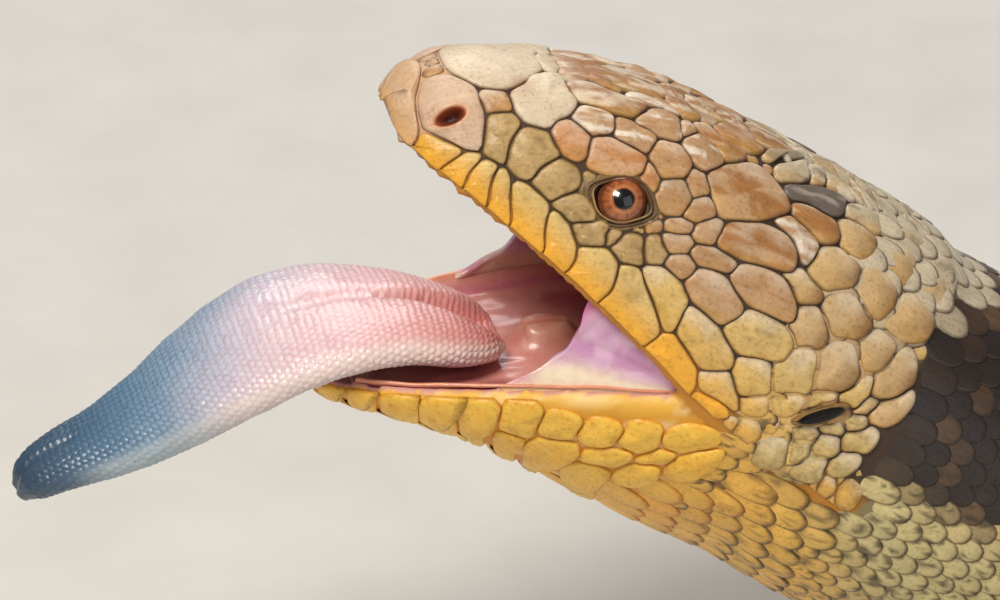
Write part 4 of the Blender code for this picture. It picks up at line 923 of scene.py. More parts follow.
def addPlate(coat, sheet, finish, outline, seed, sides, bakeAt, lift=0.0, rings=plateDepths, inner=plateInner,
             hole=None):  # one shield from its outline along and round
    n = len(outline)
    middle = outline.mean(axis=0) if hole is None else hole["middle"]
    away = outline - middle
    reach = np.linalg.norm(away, axis=1)
    depths = [np.full(n, d) for d in rings]
    if hole is None:
        depths += [np.maximum(reach * (1 - share), rings[-1] + 0.06) for share in inner]
        depths = [np.minimum(d, reach * 0.92) for d in depths]
    else:  # the last rings go round the nostril
        turn = np.arctan2(away[:, 1] / hole["high"], away[:, 0] / hole["long"])
        oval = np.hypot(np.cos(turn) * hole["long"], np.sin(turn) * hole["high"])
        first = np.maximum(reach - rings[-1], oval * 1.5)
        depths = [np.minimum(d, reach - first) for d in depths]
        depths += [reach - (oval * 1.5 + (first - oval * 1.5) * 0.4)]
        depths += [reach - oval * share for share in (1.5, 1.3, 1.12, 1.0, 0.9, 0.75, 0.5)]
    flatPlaces = np.vstack([middle + away * (1 - d / reach)[:, None] for d in depths]
                           + [middle[None], middle[None]])
    edge = np.concatenate(depths + [[reach.mean()], [reach.mean()]])
    length = np.ptp(outline[:, 0])
    spread = (flatPlaces - outline.mean(axis=0)) / (np.ptp(outline, axis=0) / 2)
    size = min(reach.mean() / 2.2, 1.2)
    tall = plateShape["thick"] * (0.35 + 0.65 * min(size, 1)) * (1 - np.exp(-edge / plateShape["bevel"]))
    tall += plateShape["dome"] * size * stepUp(0, 1, edge / reach.mean())
    tall -= plateShape["tilt"] * size * spread[:, 0]
    along, roundAt = flatPlaces.T
    places = sheet.at(along, roundAt)[0]
    tall += 0.03 * grain(places, 0.9, 51) + lift
    if finish in streaked:
        spot = np.column_stack((along * 0.3, roundAt * 1.8, along * 0 + seed))
        tall += 0.06 * streaked[finish] * grain(spot, 1.0, 52)
    fromLip = np.interp(along, headSheet.along, headSheet.girth) - np.abs(roundAt) if sheet is headSheet \
        else np.full(len(along), 9.0)
    colour = plateTint(finish, places, along, roundAt, edge, seed, fromLip, spread)
    if hole is not None:
        apart = np.linalg.norm((flatPlaces - middle) / (hole["long"], hole["high"]), axis=1)
        tall -= (1 - stepUp(0.55, 1.15, apart)) * hole["deep"]
        tall += 0.10 * np.exp(-((apart - 1.32) / 0.22) ** 2)
        colour = mix(colour, hue(212, 142, 92), 0.6 * np.exp(-((apart - 1.2) / 0.2) ** 2))
        # painted shade: the nostril is painted near black deep inside, warmer towards its rim
        inside = mix(hue(52, 16, 10), hue(158, 78, 44), stepUp(0.3, 1.05, apart))
        colour = mix(colour, inside, 1 - stepUp(0.98, 1.2, apart))
    tall[:n] = np.minimum(-plateShape["sunk"], tall[:n] - 0.2)
    tall[-1] = -plateShape["sunk"] - (hole["deep"] if hole is not None else 0.0)
    points = sheet.at(along, roundAt, tall)[0]
    quads, tris = plateFaces(n, len(depths))
    for side in sides:
        bake = np.column_stack(bakeAt(along, roundAt, side))
        coat.add(points if side > 0 else mirrorOf(points), quads if side > 0 else quads[:, ::-1],
                 tris if side > 0 else tris[:, ::-1], colour, flatPlaces * 0.5, bake)
    return points[2 * n:-1]


# Unwrap of the skin, as the bake wants it: body, head and jaw lie side by side
def headUnwrap(along, roundAt, side=1):
    return 0.66 + (np.asarray(along) + 15) / 61 * 0.3, 0.72 + side * np.asarray(roundAt) / 36 * 0.2


def jawUnwrap(along, roundAt, side=1):
    return 0.66 + (np.asarray(along) + 12) / 60 * 0.3, 0.28 + side * np.asarray(roundAt) / 36 * 0.15


def bodyUnwrap(place, roundAt, side=1):
    return 0.02 + np.asarray(place) / 357 * 0.6, 0.5 + side * np.asarray(roundAt) / 84 * 0.4


axisPlaces = np.linspace(0, bodyRun[-1], 150)
axisSpots, axisLefts, axisUps, axisBacks = (np.array(part) for part in zip(*[bodyAt(s) for s in axisPlaces]))


def bodyPlaceOf(points):  # nearly where points lie along the body and round it
    nearest = np.concatenate([np.argmin(np.sum((block[:, None] - axisSpots) ** 2, -1), axis=1)
                              for block in np.array_split(points, max(len(points) // 4000, 1))])
    away = points - axisSpots[nearest]
    place = axisPlaces[nearest] + np.clip(np.sum(away * axisBacks[nearest], 1), -1.5, 1.5)
    angle = np.arctan2(np.sum(away * axisLefts[nearest], 1), np.sum(away * axisUps[nearest], 1))
    return place, np.interp(place, bodySheet.along, bodySheet.girth) * angle / math.pi


# Markings of the body, the same on the skin and on its scales
marks = {"firstBand": 22.0, "bandPitch": 21.5, "bandShare": 0.19,
         "back": hue(188, 158, 116), "backDark": hue(140, 106, 70), "flank": hue(198, 150, 92),
         "belly": hue(222, 204, 160), "band": hue(36, 25, 18), "bandPale": hue(98, 70, 42),
         "throat": hue(232, 178, 76), "side": hue(202, 184, 128),
         "blotch": hue(206, 116, 52), "jaw": hue(238, 180, 66), "limb": hue(176, 140, 98)}


def bodyHue(place, roundAt, points):
    girth = np.interp(place, bodySheet.along, bodySheet.girth)
    around = np.abs(roundAt) / girth  # 0 on the back, 1 under the belly
    warp = 3.0 * grain(points, 11.0, 61) + 1.6 * grain(points, 4.5, 62)
    colour = mix(marks["back"], marks["backDark"], stepUp(-0.2, 0.7, grain(points, 6.0, 63)) * 0.6)
    colour = mix(colour, marks["flank"], stepUp(0.24, 0.42, around + 0.03 * warp / 3))
    colour = mix(colour, marks["belly"], stepUp(0.56, 0.72, around))
    turn = (place + warp * 0.8 - marks["firstBand"]) / marks["bandPitch"]
    apart = np.abs(turn - np.round(turn))
    share = marks["bandShare"] + 0.10 * stepUp(0.15, 0.45, around) + 0.04 * grain(points, 3.0, 64)
    share = np.where(np.round(turn) == 0, share + 0.10 - 0.22 * (1 - stepUp(0.08, 0.17, around)), share)
    band = (1 - stepUp(share - 0.035, share + 0.035, apart)) * (turn > -0.6)
    under = stepUp(0.50, 0.66, around + 0.04 * warp / 3) * (place < 214)
    neckUnder = stepUp(0.45, 0.50, around) * (1 - stepUp(40, 55, place))
    band *= 1 - np.maximum(under * (1 - 0.3 * stepUp(0.3, 0.6, grain(points, 5.0, 65))), neckUnder)
    dark = mix(marks["band"], marks["bandPale"], stepUp(0.1, 0.6, grain(points, 2.5, 66)) * 0.7)
    colour = mix(colour, marks["blotch"], 0.65 * stepUp(0.2, 0.6, grain(points, 7.0, 67))
                 * stepUp(0.3, 0.4, around) * (1 - stepUp(0.52, 0.66, around)) * stepUp(40, 60, place))
    nearHead = 1 - stepUp(34, 52, place)
    lower = nearHead * stepUp(0.40, 0.52, around)
    colour = mix(colour, marks["side"], lower)
    colour = mix(colour, marks["throat"], nearHead * stepUp(0.58, 0.78, around + 0.012 * (20 - place)))
    colour = mix(colour, hue(224, 212, 186), nearHead * (1 - stepUp(0.16, 0.30, around)) * 0.55)
    return mix(colour, dark, np.clip(band, 0, 1))


def jawHue(along, roundAt, points):
    colour = mix(marks["jaw"], marks["throat"], 1 - stepUp(4, 24, along))
    colour = mix(colour, hue(236, 150, 40), 0.5 * stepUp(0.1, 0.7, grain(points, 6.0, 71)))
    spot = stepUp(0.62, 0.75, grain(points, 3.2, 72)) * (1 - stepUp(16, 24, along))
    colour = mix(colour, hue(224, 120, 50), spot * 0.8)
    return mix(colour, hue(210, 190, 112), 0.8 * (1 - stepUp(-9, 0, along)))


# One finish for all that is horny: the tint with fine specks, streaks and a soft gloss
def nodeKit(name):
    material = bpy.data.materials.new(name)
    material.use_nodes = True
    tree = material.node_tree
    shader = tree.nodes["Principled BSDF"]

    def node(kind, **inputs):
        made = tree.nodes.new("ShaderNode" + kind)
        for key, value in inputs.items():
            socket = made.inputs[int(key[1:])] if key[0] == "i" and key[1:].isdigit() else made.inputs[key]
            if isinstance(value, bpy.types.NodeSocket):
                tree.links.new(value, socket)
            else:
                socket.default_value = value
        return made

    return material, tree, shader, node


def hornFinish(name, settings):
    material, tree, shader, node = nodeKit(name)
    tint = node("Attribute")
    tint.attribute_name = "Tint"
    spot = node("TexCoord").outputs["Object"]
    plate = node("UVMap")
    plate.uv_map = "Plate"
    fine = node("TexNoise", Vector=spot, Scale=settings["speckScale"], Detail=3.0, Roughness=0.6)
    stretched = node("Mapping", Vector=plate.outputs["UV"], Scale=settings["streakScale"])
    lined = node("TexNoise", Vector=stretched.outputs["Vector"], Scale=1.0, Detail=3.0, Roughness=0.55)
    specks = node("MapRange", i0=fine.outputs["Fac"], i1=0.52, i2=0.70, i3=0.0, i4=settings["specks"])
    streaks = node("MapRange", i0=lined.outputs["Fac"], i1=0.40, i2=0.72, i3=0.0, i4=settings["streaks"])
    dark = node("Mix")
    dark.data_type = "RGBA"
    dark.blend_type = "MULTIPLY"
    tree.links.new(specks.outputs["Result"], dark.inputs[0])
    tree.links.new(tint.outputs["Color"], dark.inputs[6])
    dark.inputs[7].default_value = (*settings["speckHue"], 1)
    light = node("Mix")
    light.data_type = "RGBA"
    light.blend_type = "SOFT_LIGHT"
    tree.links.new(streaks.outputs["Result"], light.inputs[0])
    tree.links.new(dark.outputs[2], light.inputs[6])
    light.inputs[7].default_value = (0.95, 0.93, 0.9, 1)
    tree.links.new(light.outputs[2], shader.inputs["Base Color"])
    rough = node("MapRange", i0=fine.outputs["Fac"], i1=0.3, i2=0.7, i3=settings["rough"][0],
                 i4=settings["rough"][1])
    tree.links.new(rough.outputs["Result"], shader.inputs["Roughness"])
    height = node("Math", i0=fine.outputs["Fac"], i1=lined.outputs["Fac"])
    height.operation = "ADD"
    bump = node("Bump", Strength=settings["bump"], Distance=0.00012, Height=height.outputs[0])
    tree.links.new(bump.outputs["Normal"], shader.inputs["Normal"])
    shader.inputs["Coat Weight"].default_value = settings["coat"]
    shader.inputs["Coat Roughness"].default_value = 0.28
    return material


shieldFinish = hornFinish("shieldFinish", {"speckScale": 2300.0, "streakScale": (1.2, 6.0, 1.0),
                                           "specks": 0.42,
                                           "speckHue": (0.42, 0.30,
                                                        0.17), "streaks": 0.30, "rough": (0.36, 0.56),
                                           "bump": 0.5, "coat": 0.14})
scaleFinish = hornFinish("scaleFinish", {"speckScale": 2500.0, "streakScale": (9.0, 1.3, 1.0), "specks": 0.40,
                                         "speckHue": (0.36, 0.28,
                                                      0.17), "streaks": 0.34, "rough": (0.34, 0.55),
                                         "bump": 0.5, "coat": 0.14})

# First the head, on its flat hide, then the neck and the jaw where the photo shows them


def underLip(sheet, corners, margin=0.05):
    corners[:, 1] = np.minimum(corners[:, 1], np.interp(corners[:, 0], sheet.along, sheet.girth) - margin)
    return corners


headNames = list(headPlates)
headOutlines = [plateOutline(underLip(headSheet, headSheet.find(pixels))) for _,
                pixels in headPlates.values()]
headFinishes = [finish for finish, _ in headPlates.values()]
for name, (finish, half) in crownPlates.items():
    half = np.array(half, float)
    headOutlines.append(plateOutline(np.vstack((half, half[-2:0:-1] * (1, -1)))))
    headNames.append(name)
    headFinishes.append(finish)
headOutlines = fitTogether(headOutlines, plateShape["gap"] / 2, plateShape["most"])
headOutlines = [underLip(headSheet, outline) for outline in headOutlines]

sidePixels = {**{k: (f, p, None) for k, (f, p) in neckPlates.items()},
              **{k: (f, p, jawSheet) for k, (f, p) in jawPlates.items()}}
headInView = [seenAt(headSheet.at(*o.T)[0]) * shot["pixel"] for o in headOutlines]
sideOutlines = [plateOutline(np.array(p, float) * shot["pixel"], 36) for _, p, _ in sidePixels.values()]
turn = np.linspace(0, 2 * math.pi, 24, endpoint=False)
earInView = np.column_stack((82.1 + 3.0 * np.cos(turn), 41.3 - 0.35 * np.cos(turn) + 1.0 * np.sin(turn)))
sideOutlines = fitTogether(sideOutlines, plateShape["gap"] / 2, plateShape["most"], headInView + [earInView])
print("outlines fitted")

headCoat, neckCoat, jawCoat = (Coat(n, shieldFinish) for n in ("headShields", "neckShields", "jawShields"))
covered = []  # points on plates, so that no scale grows through them
for number, (name, finish, outline) in enumerate(zip(headNames, headFinishes, headOutlines)):
    sides = (1, -1) if number < len(headPlates) else (1,)
    hole = {**nostril, "middle": np.array((nostril["along"], nostril["round"]))} if name == "nasal" else None
    top = addPlate(headCoat, headSheet, finish, outline, number, sides, headUnwrap, -hide["headDown"],
                   hole=hole)
    covered += [top, mirrorOf(top)]
for number, ((name, (finish, _, sheet)), outline) in enumerate(zip(sidePixels.items(), sideOutlines)):
    if sheet is None:
        drape = Drape(outline[::-1] / shot["pixel"])
        place, roundAt = (v[0] for v in bodyPlaceOf(drape.middle[None]))

        def bakeHere(along, across, side, place=place, roundAt=roundAt):
            return bodyUnwrap(place - along * 0.6, roundAt + across * 0.6, side)

        flat = plateOutline(drape.flat, 36)
        top = addPlate(neckCoat, drape, finish, flat, number, (1, -1), bakeHere, 0.1)
    else:
        flat = plateOutline(underLip(jawSheet, jawSheet.find(outline / shot["pixel"]), 0.02), 36)
        top = addPlate(jawCoat, jawSheet, finish, flat, number, (1, -1), jawUnwrap, -hide["jawDown"] + 0.05)
    covered += [top, mirrorOf(top)]
coatPieces = [headCoat.build(), neckCoat.build(), jawCoat.build()]
for piece, slot in zip(coatPieces, ("head_skin", "head_skin", "jaw_skin")):
    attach(piece, "root")
print("shields done")

# Gaps that the shields leave on the head are filled with grains, the largest first
grainShape = {"step": 0.22, "least": 0.34, "most": 1.7, "around": 18, "gap": 0.10, "grow": 0.4}
lidReach = {"long": 3.5, "high": 3.0}


def ovalDistance(flatPlaces, piece, long, high):  # mm outside an oval round the eye, the ear or the nostril
    away = flatPlaces - (piece["along"], piece["round"])
    share = np.linalg.norm(away / (long, high), axis=1)
    return (share - 1) * min(long, high)


def fillGaps():
    step = grainShape["step"]
    grid = np.stack(np.meshgrid(np.arange(-13, 44.5, step), np.arange(0, 36.5, step)), -1).reshape(-1, 2)
    girth = np.interp(grid[:, 0], headSheet.along, headSheet.girth)
    grid = grid[grid[:, 1] < girth - 0.3]
    points, normals = headSheet.at(*grid.T)
    depth = np.array([skinTree.find_nearest(p)[3] for p in points.tolist()])
    outside = depth < 0.6
    grid, points = grid[outside], points[outside]
    apart = np.minimum(grid[:, 1] + 0.25, np.interp(grid[:, 0], headSheet.along, headSheet.girth)
                       - grid[:, 1])
    apart = np.minimum(apart, ovalDistance(grid, eye, lidReach["long"], lidReach["high"]))
    apart = np.minimum(apart, ovalDistance(grid, ear, ear["long"] + 0.3, ear["high"] + 0.3))
    apart = np.minimum(apart, ovalDistance(grid, nostril, 1.6, 1.2))
    seen = seenAt(points) * shot["pixel"]
    apart = np.minimum(apart, (np.linalg.norm((seen - (82.1, 41.4)) / (3.2, 1.3), axis=1) - 1) * 1.3)
    for where, polygons in ((grid, headOutlines), (seen, sideOutlines)):
        for polygon in polygons:
            low, high = polygon.min(axis=0) - 2.0, polygon.max(axis=0) + 2.0
            near = np.all((where > low) & (where < high), axis=1)
            if near.any():
                apart[near] = np.minimum(apart[near], polygonDistance(where[near], polygon))
    grains = []
    while True:
        best = int(np.argmax(apart))
        radius = min(apart[best], grainShape["most"])
        if radius < grainShape["least"] or len(grains) > 900:
            break
        grains.append((*grid[best], radius))
        apart = np.minimum(apart, np.linalg.norm(grid - grid[best], axis=1) - radius * 0.98)
    return np.array(grains)


grains = fillGaps()
turn = np.linspace(0, 2 * math.pi, grainShape["around"], endpoint=False)
circle = np.column_stack((np.cos(turn), np.sin(turn)))
grainOutlines = [g[:2] + circle * max(g[2] - 0.12, 0.2) for g in grains]
grainOutlines = fitTogether(grainOutlines, grainShape["gap"] / 2, grainShape["grow"], headOutlines)
grainCoat = Coat("headGrains", shieldFinish)
plateMiddles = np.array([o.mean(axis=0) for o in headOutlines])
plainer = {"caramel": "tan", "peach": "tan", "nasal": "tan", "orange": "cheek", "lip": "olive",
           "brow": "olive"}
for number, (outline, (along, roundAt, radius)) in enumerate(zip(grainOutlines, grains)):
    nearest = headFinishes[int(np.argmin(np.linalg.norm(plateMiddles - (along, roundAt), axis=1)))]
    finish = plainer.get(nearest, nearest)
    if along < 2 and roundAt < 14:
        finish = "pale"
    outline = underLip(headSheet, outline.copy())
    top = addPlate(grainCoat, headSheet, finish, outline, 300 + number, (1, -1), headUnwrap,
                   -hide["headDown"] - 0.03,
                   rings=(0.0, 0.0, 0.05, 0.14), inner=(0.6,))
    covered += [top, mirrorOf(top)]
grainPiece = grainCoat.build()
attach(grainPiece, "root")
print(len(grains), "grains")

# Scales that overlap to the rear: each is laid on the skin from its seed
scaleShape = {"front": -0.12, "rear": 0.34, "dome": 0.12, "edge": 0.08, "skirt": 0.30, "square": 2.5,
              "wider": 0.56}


def scaleMould(around, shares):  # across, back and how far out, and the faces
    turn = np.linspace(0, 2 * math.pi, around, endpoint=False)
    power = 2 / scaleShape["square"]
    across = np.sign(np.sin(turn)) * np.abs(np.sin(turn)) ** power
    back = -np.sign(np.cos(turn)) * np.abs(np.cos(turn)) ** power
    back = np.where(back > 0, back, back * (1 - 0.18 * np.abs(across)))
    outs = np.concatenate([np.full(around, s) for s in (shares[0], *shares)] + [[0.0, 0.0]])
    laps = len(shares) + 1
    across = np.concatenate([np.tile(across, laps), [0, 0]]) * outs
    back = np.concatenate([np.tile(back, laps), [0, 0]]) * outs
    rank = np.concatenate([np.repeat(np.arange(laps), around), [laps, laps + 1]])
    return {"across": across, "back": back, "out": outs, "rank": rank, "laps": laps,
            "faces": plateFaces(around, laps)}


fullMould = scaleMould(18, (1.0, 0.95, 0.8, 0.5))
plainMould = scaleMould(14, (1.0, 0.93, 0.6))
smallMould = scaleMould(12, (1.0, 0.9, 0.5))


def addScales(coat, mould, seeds):  # seeds: arrays of point, out, back, half, long, tint, rim, lift and root
    n, count = len(seeds["point"]), len(mould["across"])
    out = unit(seeds["out"])
    back = unit(seeds["back"] - out * np.sum(out * seeds["back"], 1, keepdims=True))
    side = np.cross(out, back)
    across = mould["across"][None, :, None] * seeds["half"][:, None, None]
    along = mould["back"][None, :, None] * seeds["long"][:, None, None]
    places = seeds["point"][:, None] + side[:, None] * across + back[:, None] * along
    ways = np.broadcast_to(out[:, None], places.shape)
    twice = mould["rank"] == 0  # the skirt stands on the places of the edge
    landed = np.empty_like(places)
    found, missed = drop(places[:, ~twice].reshape(-1, 3), ways[:, ~twice].reshape(-1, 3),
                         seeds.get("reach", 2.0), 5.0)
    landed[:, ~twice] = found.reshape(n, -1, 3)
    around = int(twice.sum())
    landed[:, twice] = landed[:, mould["rank"] == 1]
    s, k = scaleShape, seeds["long"][:, None] / 4.0
    toRear = (mould["back"][None] + 1) / 2
    rise = (s["front"] + (s["rear"] - s["front"]) * toRear) * np.minimum(k + 0.25, 1.1)
    rise = rise + s["dome"] * np.minimum(k, 1.2) * (1 - mould["out"][None] ** 2) + seeds["lift"][:, None]
    rise = rise - np.where(mould["rank"] == 1, s["edge"], 0.0) \
        - np.where(mould["rank"] == 0, s["edge"] + s["skirt"], 0)
    rise[:, -1] = -0.35
    points = landed + ways * rise[..., None]
    rimShare = np.select([mould["rank"] <= 1, mould["out"] > 0.9], [1.0, 0.75], 0.0)[None] \
        * stepUp(-0.9, 0.1, mould["back"])[None]
    rimShare = rimShare + 0.30 * stepUp(0.30, 0.9, mould["back"])[None] * (mould["rank"] > 1)
    rimShare = rimShare * (0.85 + 0.3 * grain(points, 0.8, 81))
    colour = mix(np.repeat(seeds["tint"][:, None], count, 1), seeds["rim"][:, None], np.clip(rimShare, 0, 1))
    colour = colour * (1 + 0.10 * grain(points, 1.0, 82) + 0.05 * (1 - mould["out"]))[..., None]
    tick = stepUp(0.26, 0.42, grain(points, 0.55, 83)) * seeds["ticks"][:, None]
    colour = mix(colour, hue(52, 42, 28), 0.75 * tick)
    local = np.stack((mould["across"], mould["back"]), -1) * 0.5 + 0.5
    number = np.arange(n)[:, None, None]
    local = local[None] + np.concatenate((number % 37, number // 37), -1)
    bake = seeds["root"][:, None] + np.stack((mould["across"], mould["back"]), -1)[None] * 0.0015
    quads, tris = mould["faces"]
    starts = (np.arange(n) * count)[:, None, None]
    coat.add(points, (quads[None] + starts).reshape(-1, 4), (tris[None] + starts).reshape(-1, 3), colour,
             local.reshape(-1, 2), bake.reshape(-1, 2))
    return points[:, mould["rank"] >= mould["laps"] - 1].reshape(-1, 3)


class Seeds:  # gathers seeds and drops those that are buried or too near what is there already
    def __init__(self):
        self.rows = []

    def take(self, points, outs, backs, half, long, near, deepest=1.1):
        kept = []
        for i, (point, out) in enumerate(zip(points, outs)):
            spot, normal, _, away = skinTree.find_nearest(point.tolist())
            if away > deepest or np.dot(normal, out) < 0.45:
                continue
            if coveredTree.find(point.tolist())[2] < near:
                continue
            kept.append((np.array(spot), 0.5 * out + 0.5 * np.array(normal), backs[i], half[i], long[i]))
        self.rows += kept
        return len(kept)

    def arrays(self):
        point, out, back, half, long = (np.array(column) for column in zip(*self.rows))
        return {"point": point, "out": unit(out), "back": back, "half": half, "long": long}


def treeOf(points):
    tree = KDTree(len(points))
    for i, point in enumerate(points.tolist()):
        tree.insert(point, i)
    tree.balance()
    return tree


coveredPoints = np.vstack(covered)
coveredTree = treeOf(coveredPoints)

# Throat and jaw, behind and under the shields of the lower lip
throatRows = {"pitch": 3.5, "round": 2.9, "from": 41.0, "to": -9.0}
throat = Seeds()
for row, along in enumerate(np.arange(throatRows["from"], throatRows["to"], -throatRows["pitch"] / 1.15)):
    girth = float(np.interp(along, jawSheet.along, jawSheet.girth))
    count = int((girth - 1.2) // throatRows["round"]) + 1
    roundAt = (np.arange(-count, count + 1) + (row % 2) / 2) * throatRows["round"]
    roundAt = roundAt[np.abs(roundAt) < girth - 1.4]
    points, outs = jawSheet.at(along, roundAt)
    ahead = jawSheet.at(along + 0.6, roundAt)[0] - jawSheet.at(along - 0.6, roundAt)[0]
    throat.take(points, outs, -unit(ahead), np.full(len(points), throatRows["round"] * 0.58),
                np.full(len(points), throatRows["pitch"] * 1.05), 0.7 if along > 9 else 1.9)
throatSeeds = throat.arrays()
point = throatSeeds["point"]
along = (point - jawJoint) @ jawAxes[0]
bodyPlace, bodyRound = bodyPlaceOf(point)
throatSeeds["tint"] = mix(jawHue(along, along * 0, point), bodyHue(bodyPlace, bodyRound, point),
                          0.8 * stepUp(-4, 9, bodyPlace + 2 * grain(point, 4.0, 90)))
throatSeeds["tint"] *= (1 + 0.14 * grain(point, 2.6, 91))[:, None]
throatSeeds["rim"] = mix(hue(184, 108, 26), hue(74, 58, 28), stepUp(-2, 10, bodyPlace))
throatSeeds["lift"] = 0.05 + 0.04 * grain(point, 2.0, 92)
throatSeeds["ticks"] = 0.8 * stepUp(-2, 10, bodyPlace)
throatSeeds["root"] = np.column_stack(jawUnwrap(along, np.clip(-point[:, 1] * 1.3, -34, 34)))
throatCoat = Coat("throatScales", scaleFinish)
newCover = [addScales(throatCoat, fullMould, throatSeeds)]
coveredTree = treeOf(np.vstack((coveredPoints, *newCover)))
print("throat", len(point))

# Body and tail, in rows that shift by half a scale
# up to this place, scales round
bodyRows = ((36, 46), (60, 40), (196, 34), (228, 26), (262, 18), (300, 14), (330, 10), (400, 8))
bodyScale = {"start": 1.0, "along": 0.84, "least": 2.3, "most": 4.0}


def roundShares(count):  # wider over the back than on the flanks
    share = np.linspace(0, 1, 400)
    weight = 1 / (1.2 - 0.32 * stepUp(0.25, 0.45, share) + 0.2 * stepUp(0.75, 0.95, share))
    total = np.concatenate(([0.0], np.cumsum((weight[1:] + weight[:-1]) / 2)))
    total /= total[-1]

    def at(number):  # number of half rows from the back
        turn = np.abs(number) / (count / 2)
        return np.sign(number) * np.interp(turn, total, share)
    return at


body = Seeds()
place, row = bodyScale["start"], 0
while place < bodyRun[-1] - 2.5:
    count = next(c for limit, c in bodyRows if place < limit)
    girth = float(np.interp(place, bodySheet.along, bodySheet.girth))
    at = roundShares(count)
    number = np.arange(count) - count // 2 + (row % 2) / 2
    share = at(number)
    spacing = (at(number + 0.5) - at(number - 0.5)) * girth
    points, outs = bodySheet.at(place, share * girth)
    back = bodySheet.at(min(place + 1, bodyRun[-1]), share * girth)[0] \
        - bodySheet.at(place - 1, share * girth)[0]
    pitch = float(np.clip(2 * girth / count * bodyScale["along"], bodyScale["least"], bodyScale["most"]))
    if girth < 12:
        pitch = 2.4
    body.take(points, outs, unit(back), spacing * scaleShape["wider"], np.full(len(points), pitch * 1.12),
              1.0,
              1.3 if place > 36 else 3.6)
    place, row = place + pitch, row + 1
bodySeeds = body.arrays()


def dress(seeds):  # tints and unwrap from where the seeds lie
    point = seeds["point"]
    place, roundAt = bodyPlaceOf(point)
    around = np.abs(roundAt) / np.interp(place, bodySheet.along, bodySheet.girth)
    tint = bodyHue(place, roundAt, point) * (1 + 0.13 * grain(point, 1.7, 93)
                                             + 0.08 * grain(point, 7.0, 94))[:, None]
    seeds["tint"] = np.clip(tint, 0.0, 1.0)
    rim = mix(hue(84, 66, 42), hue(46, 34, 26), 1 - stepUp(0.02, 0.12, tint.mean(axis=1)))
    seeds["rim"] = mix(rim, hue(150, 122, 80), stepUp(0.55, 0.8, around) * 0.7 * stepUp(20, 50, place))
    seeds["lift"] = 0.04 * grain(point, 2.1, 95) \
        + 0.35 * (1 - stepUp(20, 44, place)) * (1 - stepUp(0.12, 0.3, around))
    seeds["ticks"] = stepUp(0.3, 0.45, around) * (1 - stepUp(45, 70, place)) * 0.9 + 0.15
    seeds["root"] = np.column_stack(bodyUnwrap(place, roundAt))
    seeds["place"] = place
    return seeds


dress(bodySeeds)


def pick(seeds, chosen):
    return {key: value[chosen] for key, value in seeds.items()}


bodyPieces = []
for name, first, last, mould in (("neckScales", -50, 62, fullMould), ("chestScales", 62, 104, plainMould),
                                 ("bellyScales", 104, 152, plainMould), ("hipScales", 152, 208, plainMould),
                                 ("tailScales", 208, 400, plainMould)):
    chosen = (bodySeeds["place"] >= first) & (bodySeeds["place"] < last)
    coat = Coat(name, scaleFinish)
    newCover.append(addScales(coat, mould, pick(bodySeeds, chosen)))
    bodyPieces.append((coat, mould, "body_skin"))
print("body", len(bodySeeds["point"]), "scales")

# Legs, palms and toes
legRows = {"pitch": 2.7, "round": 2.9}
footRows = {"pitch": 2.1, "toe": 1.75, "toeRound": 5}


def legSeeds(leg, side):
    seeds = Seeds()
    run = limbLine(leg, side)[1][-1]
    for row, spot in enumerate(np.arange(3.0, run - 0.5, legRows["pitch"])):
        centre, way, radius = limbAt(leg, side, spot / run)
        count = max(8, int(round(2 * math.pi * radius / legRows["round"])))
        turn = (np.arange(count) + (row % 2) / 2) / count * 2 * math.pi
        across = unit(np.cross(way, (0.0, 0.0, 1.0)))
        up = np.cross(across, way)
        outs = np.outer(np.cos(turn), across) + np.outer(np.sin(turn), up)
        half = np.full(count, math.pi * radius / count * 1.12)
        seeds.take(centre + outs * radius, outs, np.tile(way, (count, 1)), half,
                   np.full(count, legRows["pitch"] * 1.12), 1.0, 1.0)
    return seeds


def footSeeds(leg, side):
    seeds = Seeds()
    plan, wrist, ahead = footAxes(leg, side)
    shares, halves, heights = np.array(palmShape).T
    for row, spot in enumerate(np.arange(-0.3 * plan["palm"], 0.95 * plan["palm"], footRows["pitch"])):
        share = spot / plan["palm"]
        wide = plan["wide"] * float(smooth(shares, halves, share))
        height = float(smooth(shares, heights, share)) * 0.55
        centre = wrist + ahead * spot
        centre[2] = height
        across = np.cross(ahead, (0, 0, 1.0))
        count = 12
        turn = (np.arange(count) + (row % 2) / 2) / count * 2 * math.pi
        outs = np.outer(np.cos(turn) / wide, across) + np.outer(np.sin(turn) / height, (0, 0, 1.0))
        points = centre + np.outer(np.cos(turn) * wide, across) + np.outer(np.sin(turn) * height, (0, 0, 1.0))
        seeds.take(points[points[:, 2] > 1.2], unit(outs)[points[:, 2] > 1.2], np.tile(ahead, (count, 1)),
                   np.full(count, 1.35), np.full(count, footRows["pitch"] * 1.1), 0.5, 1.0)
    for start, way, length in toeWays(leg, side):
        for row, spot in enumerate(np.arange(1.0, length + 0.4, footRows["toe"])):
            centre, radius = toePoint(start, way, length, spot / length)
            across = np.cross(way, (0, 0, 1.0))
            turn = (np.arange(footRows["toeRound"]) + (row % 2) * 0.5) / footRows["toeRound"] * math.pi
            outs = np.outer(np.cos(turn), across) + np.outer(np.sin(turn), (0, 0, 1.0))
            seeds.take(centre + outs * radius, outs, np.tile(way, (len(turn), 1)), np.full(len(turn), 0.68),
                       np.full(len(turn), footRows["toe"] * 1.15), 0.3, 0.8)
    return seeds


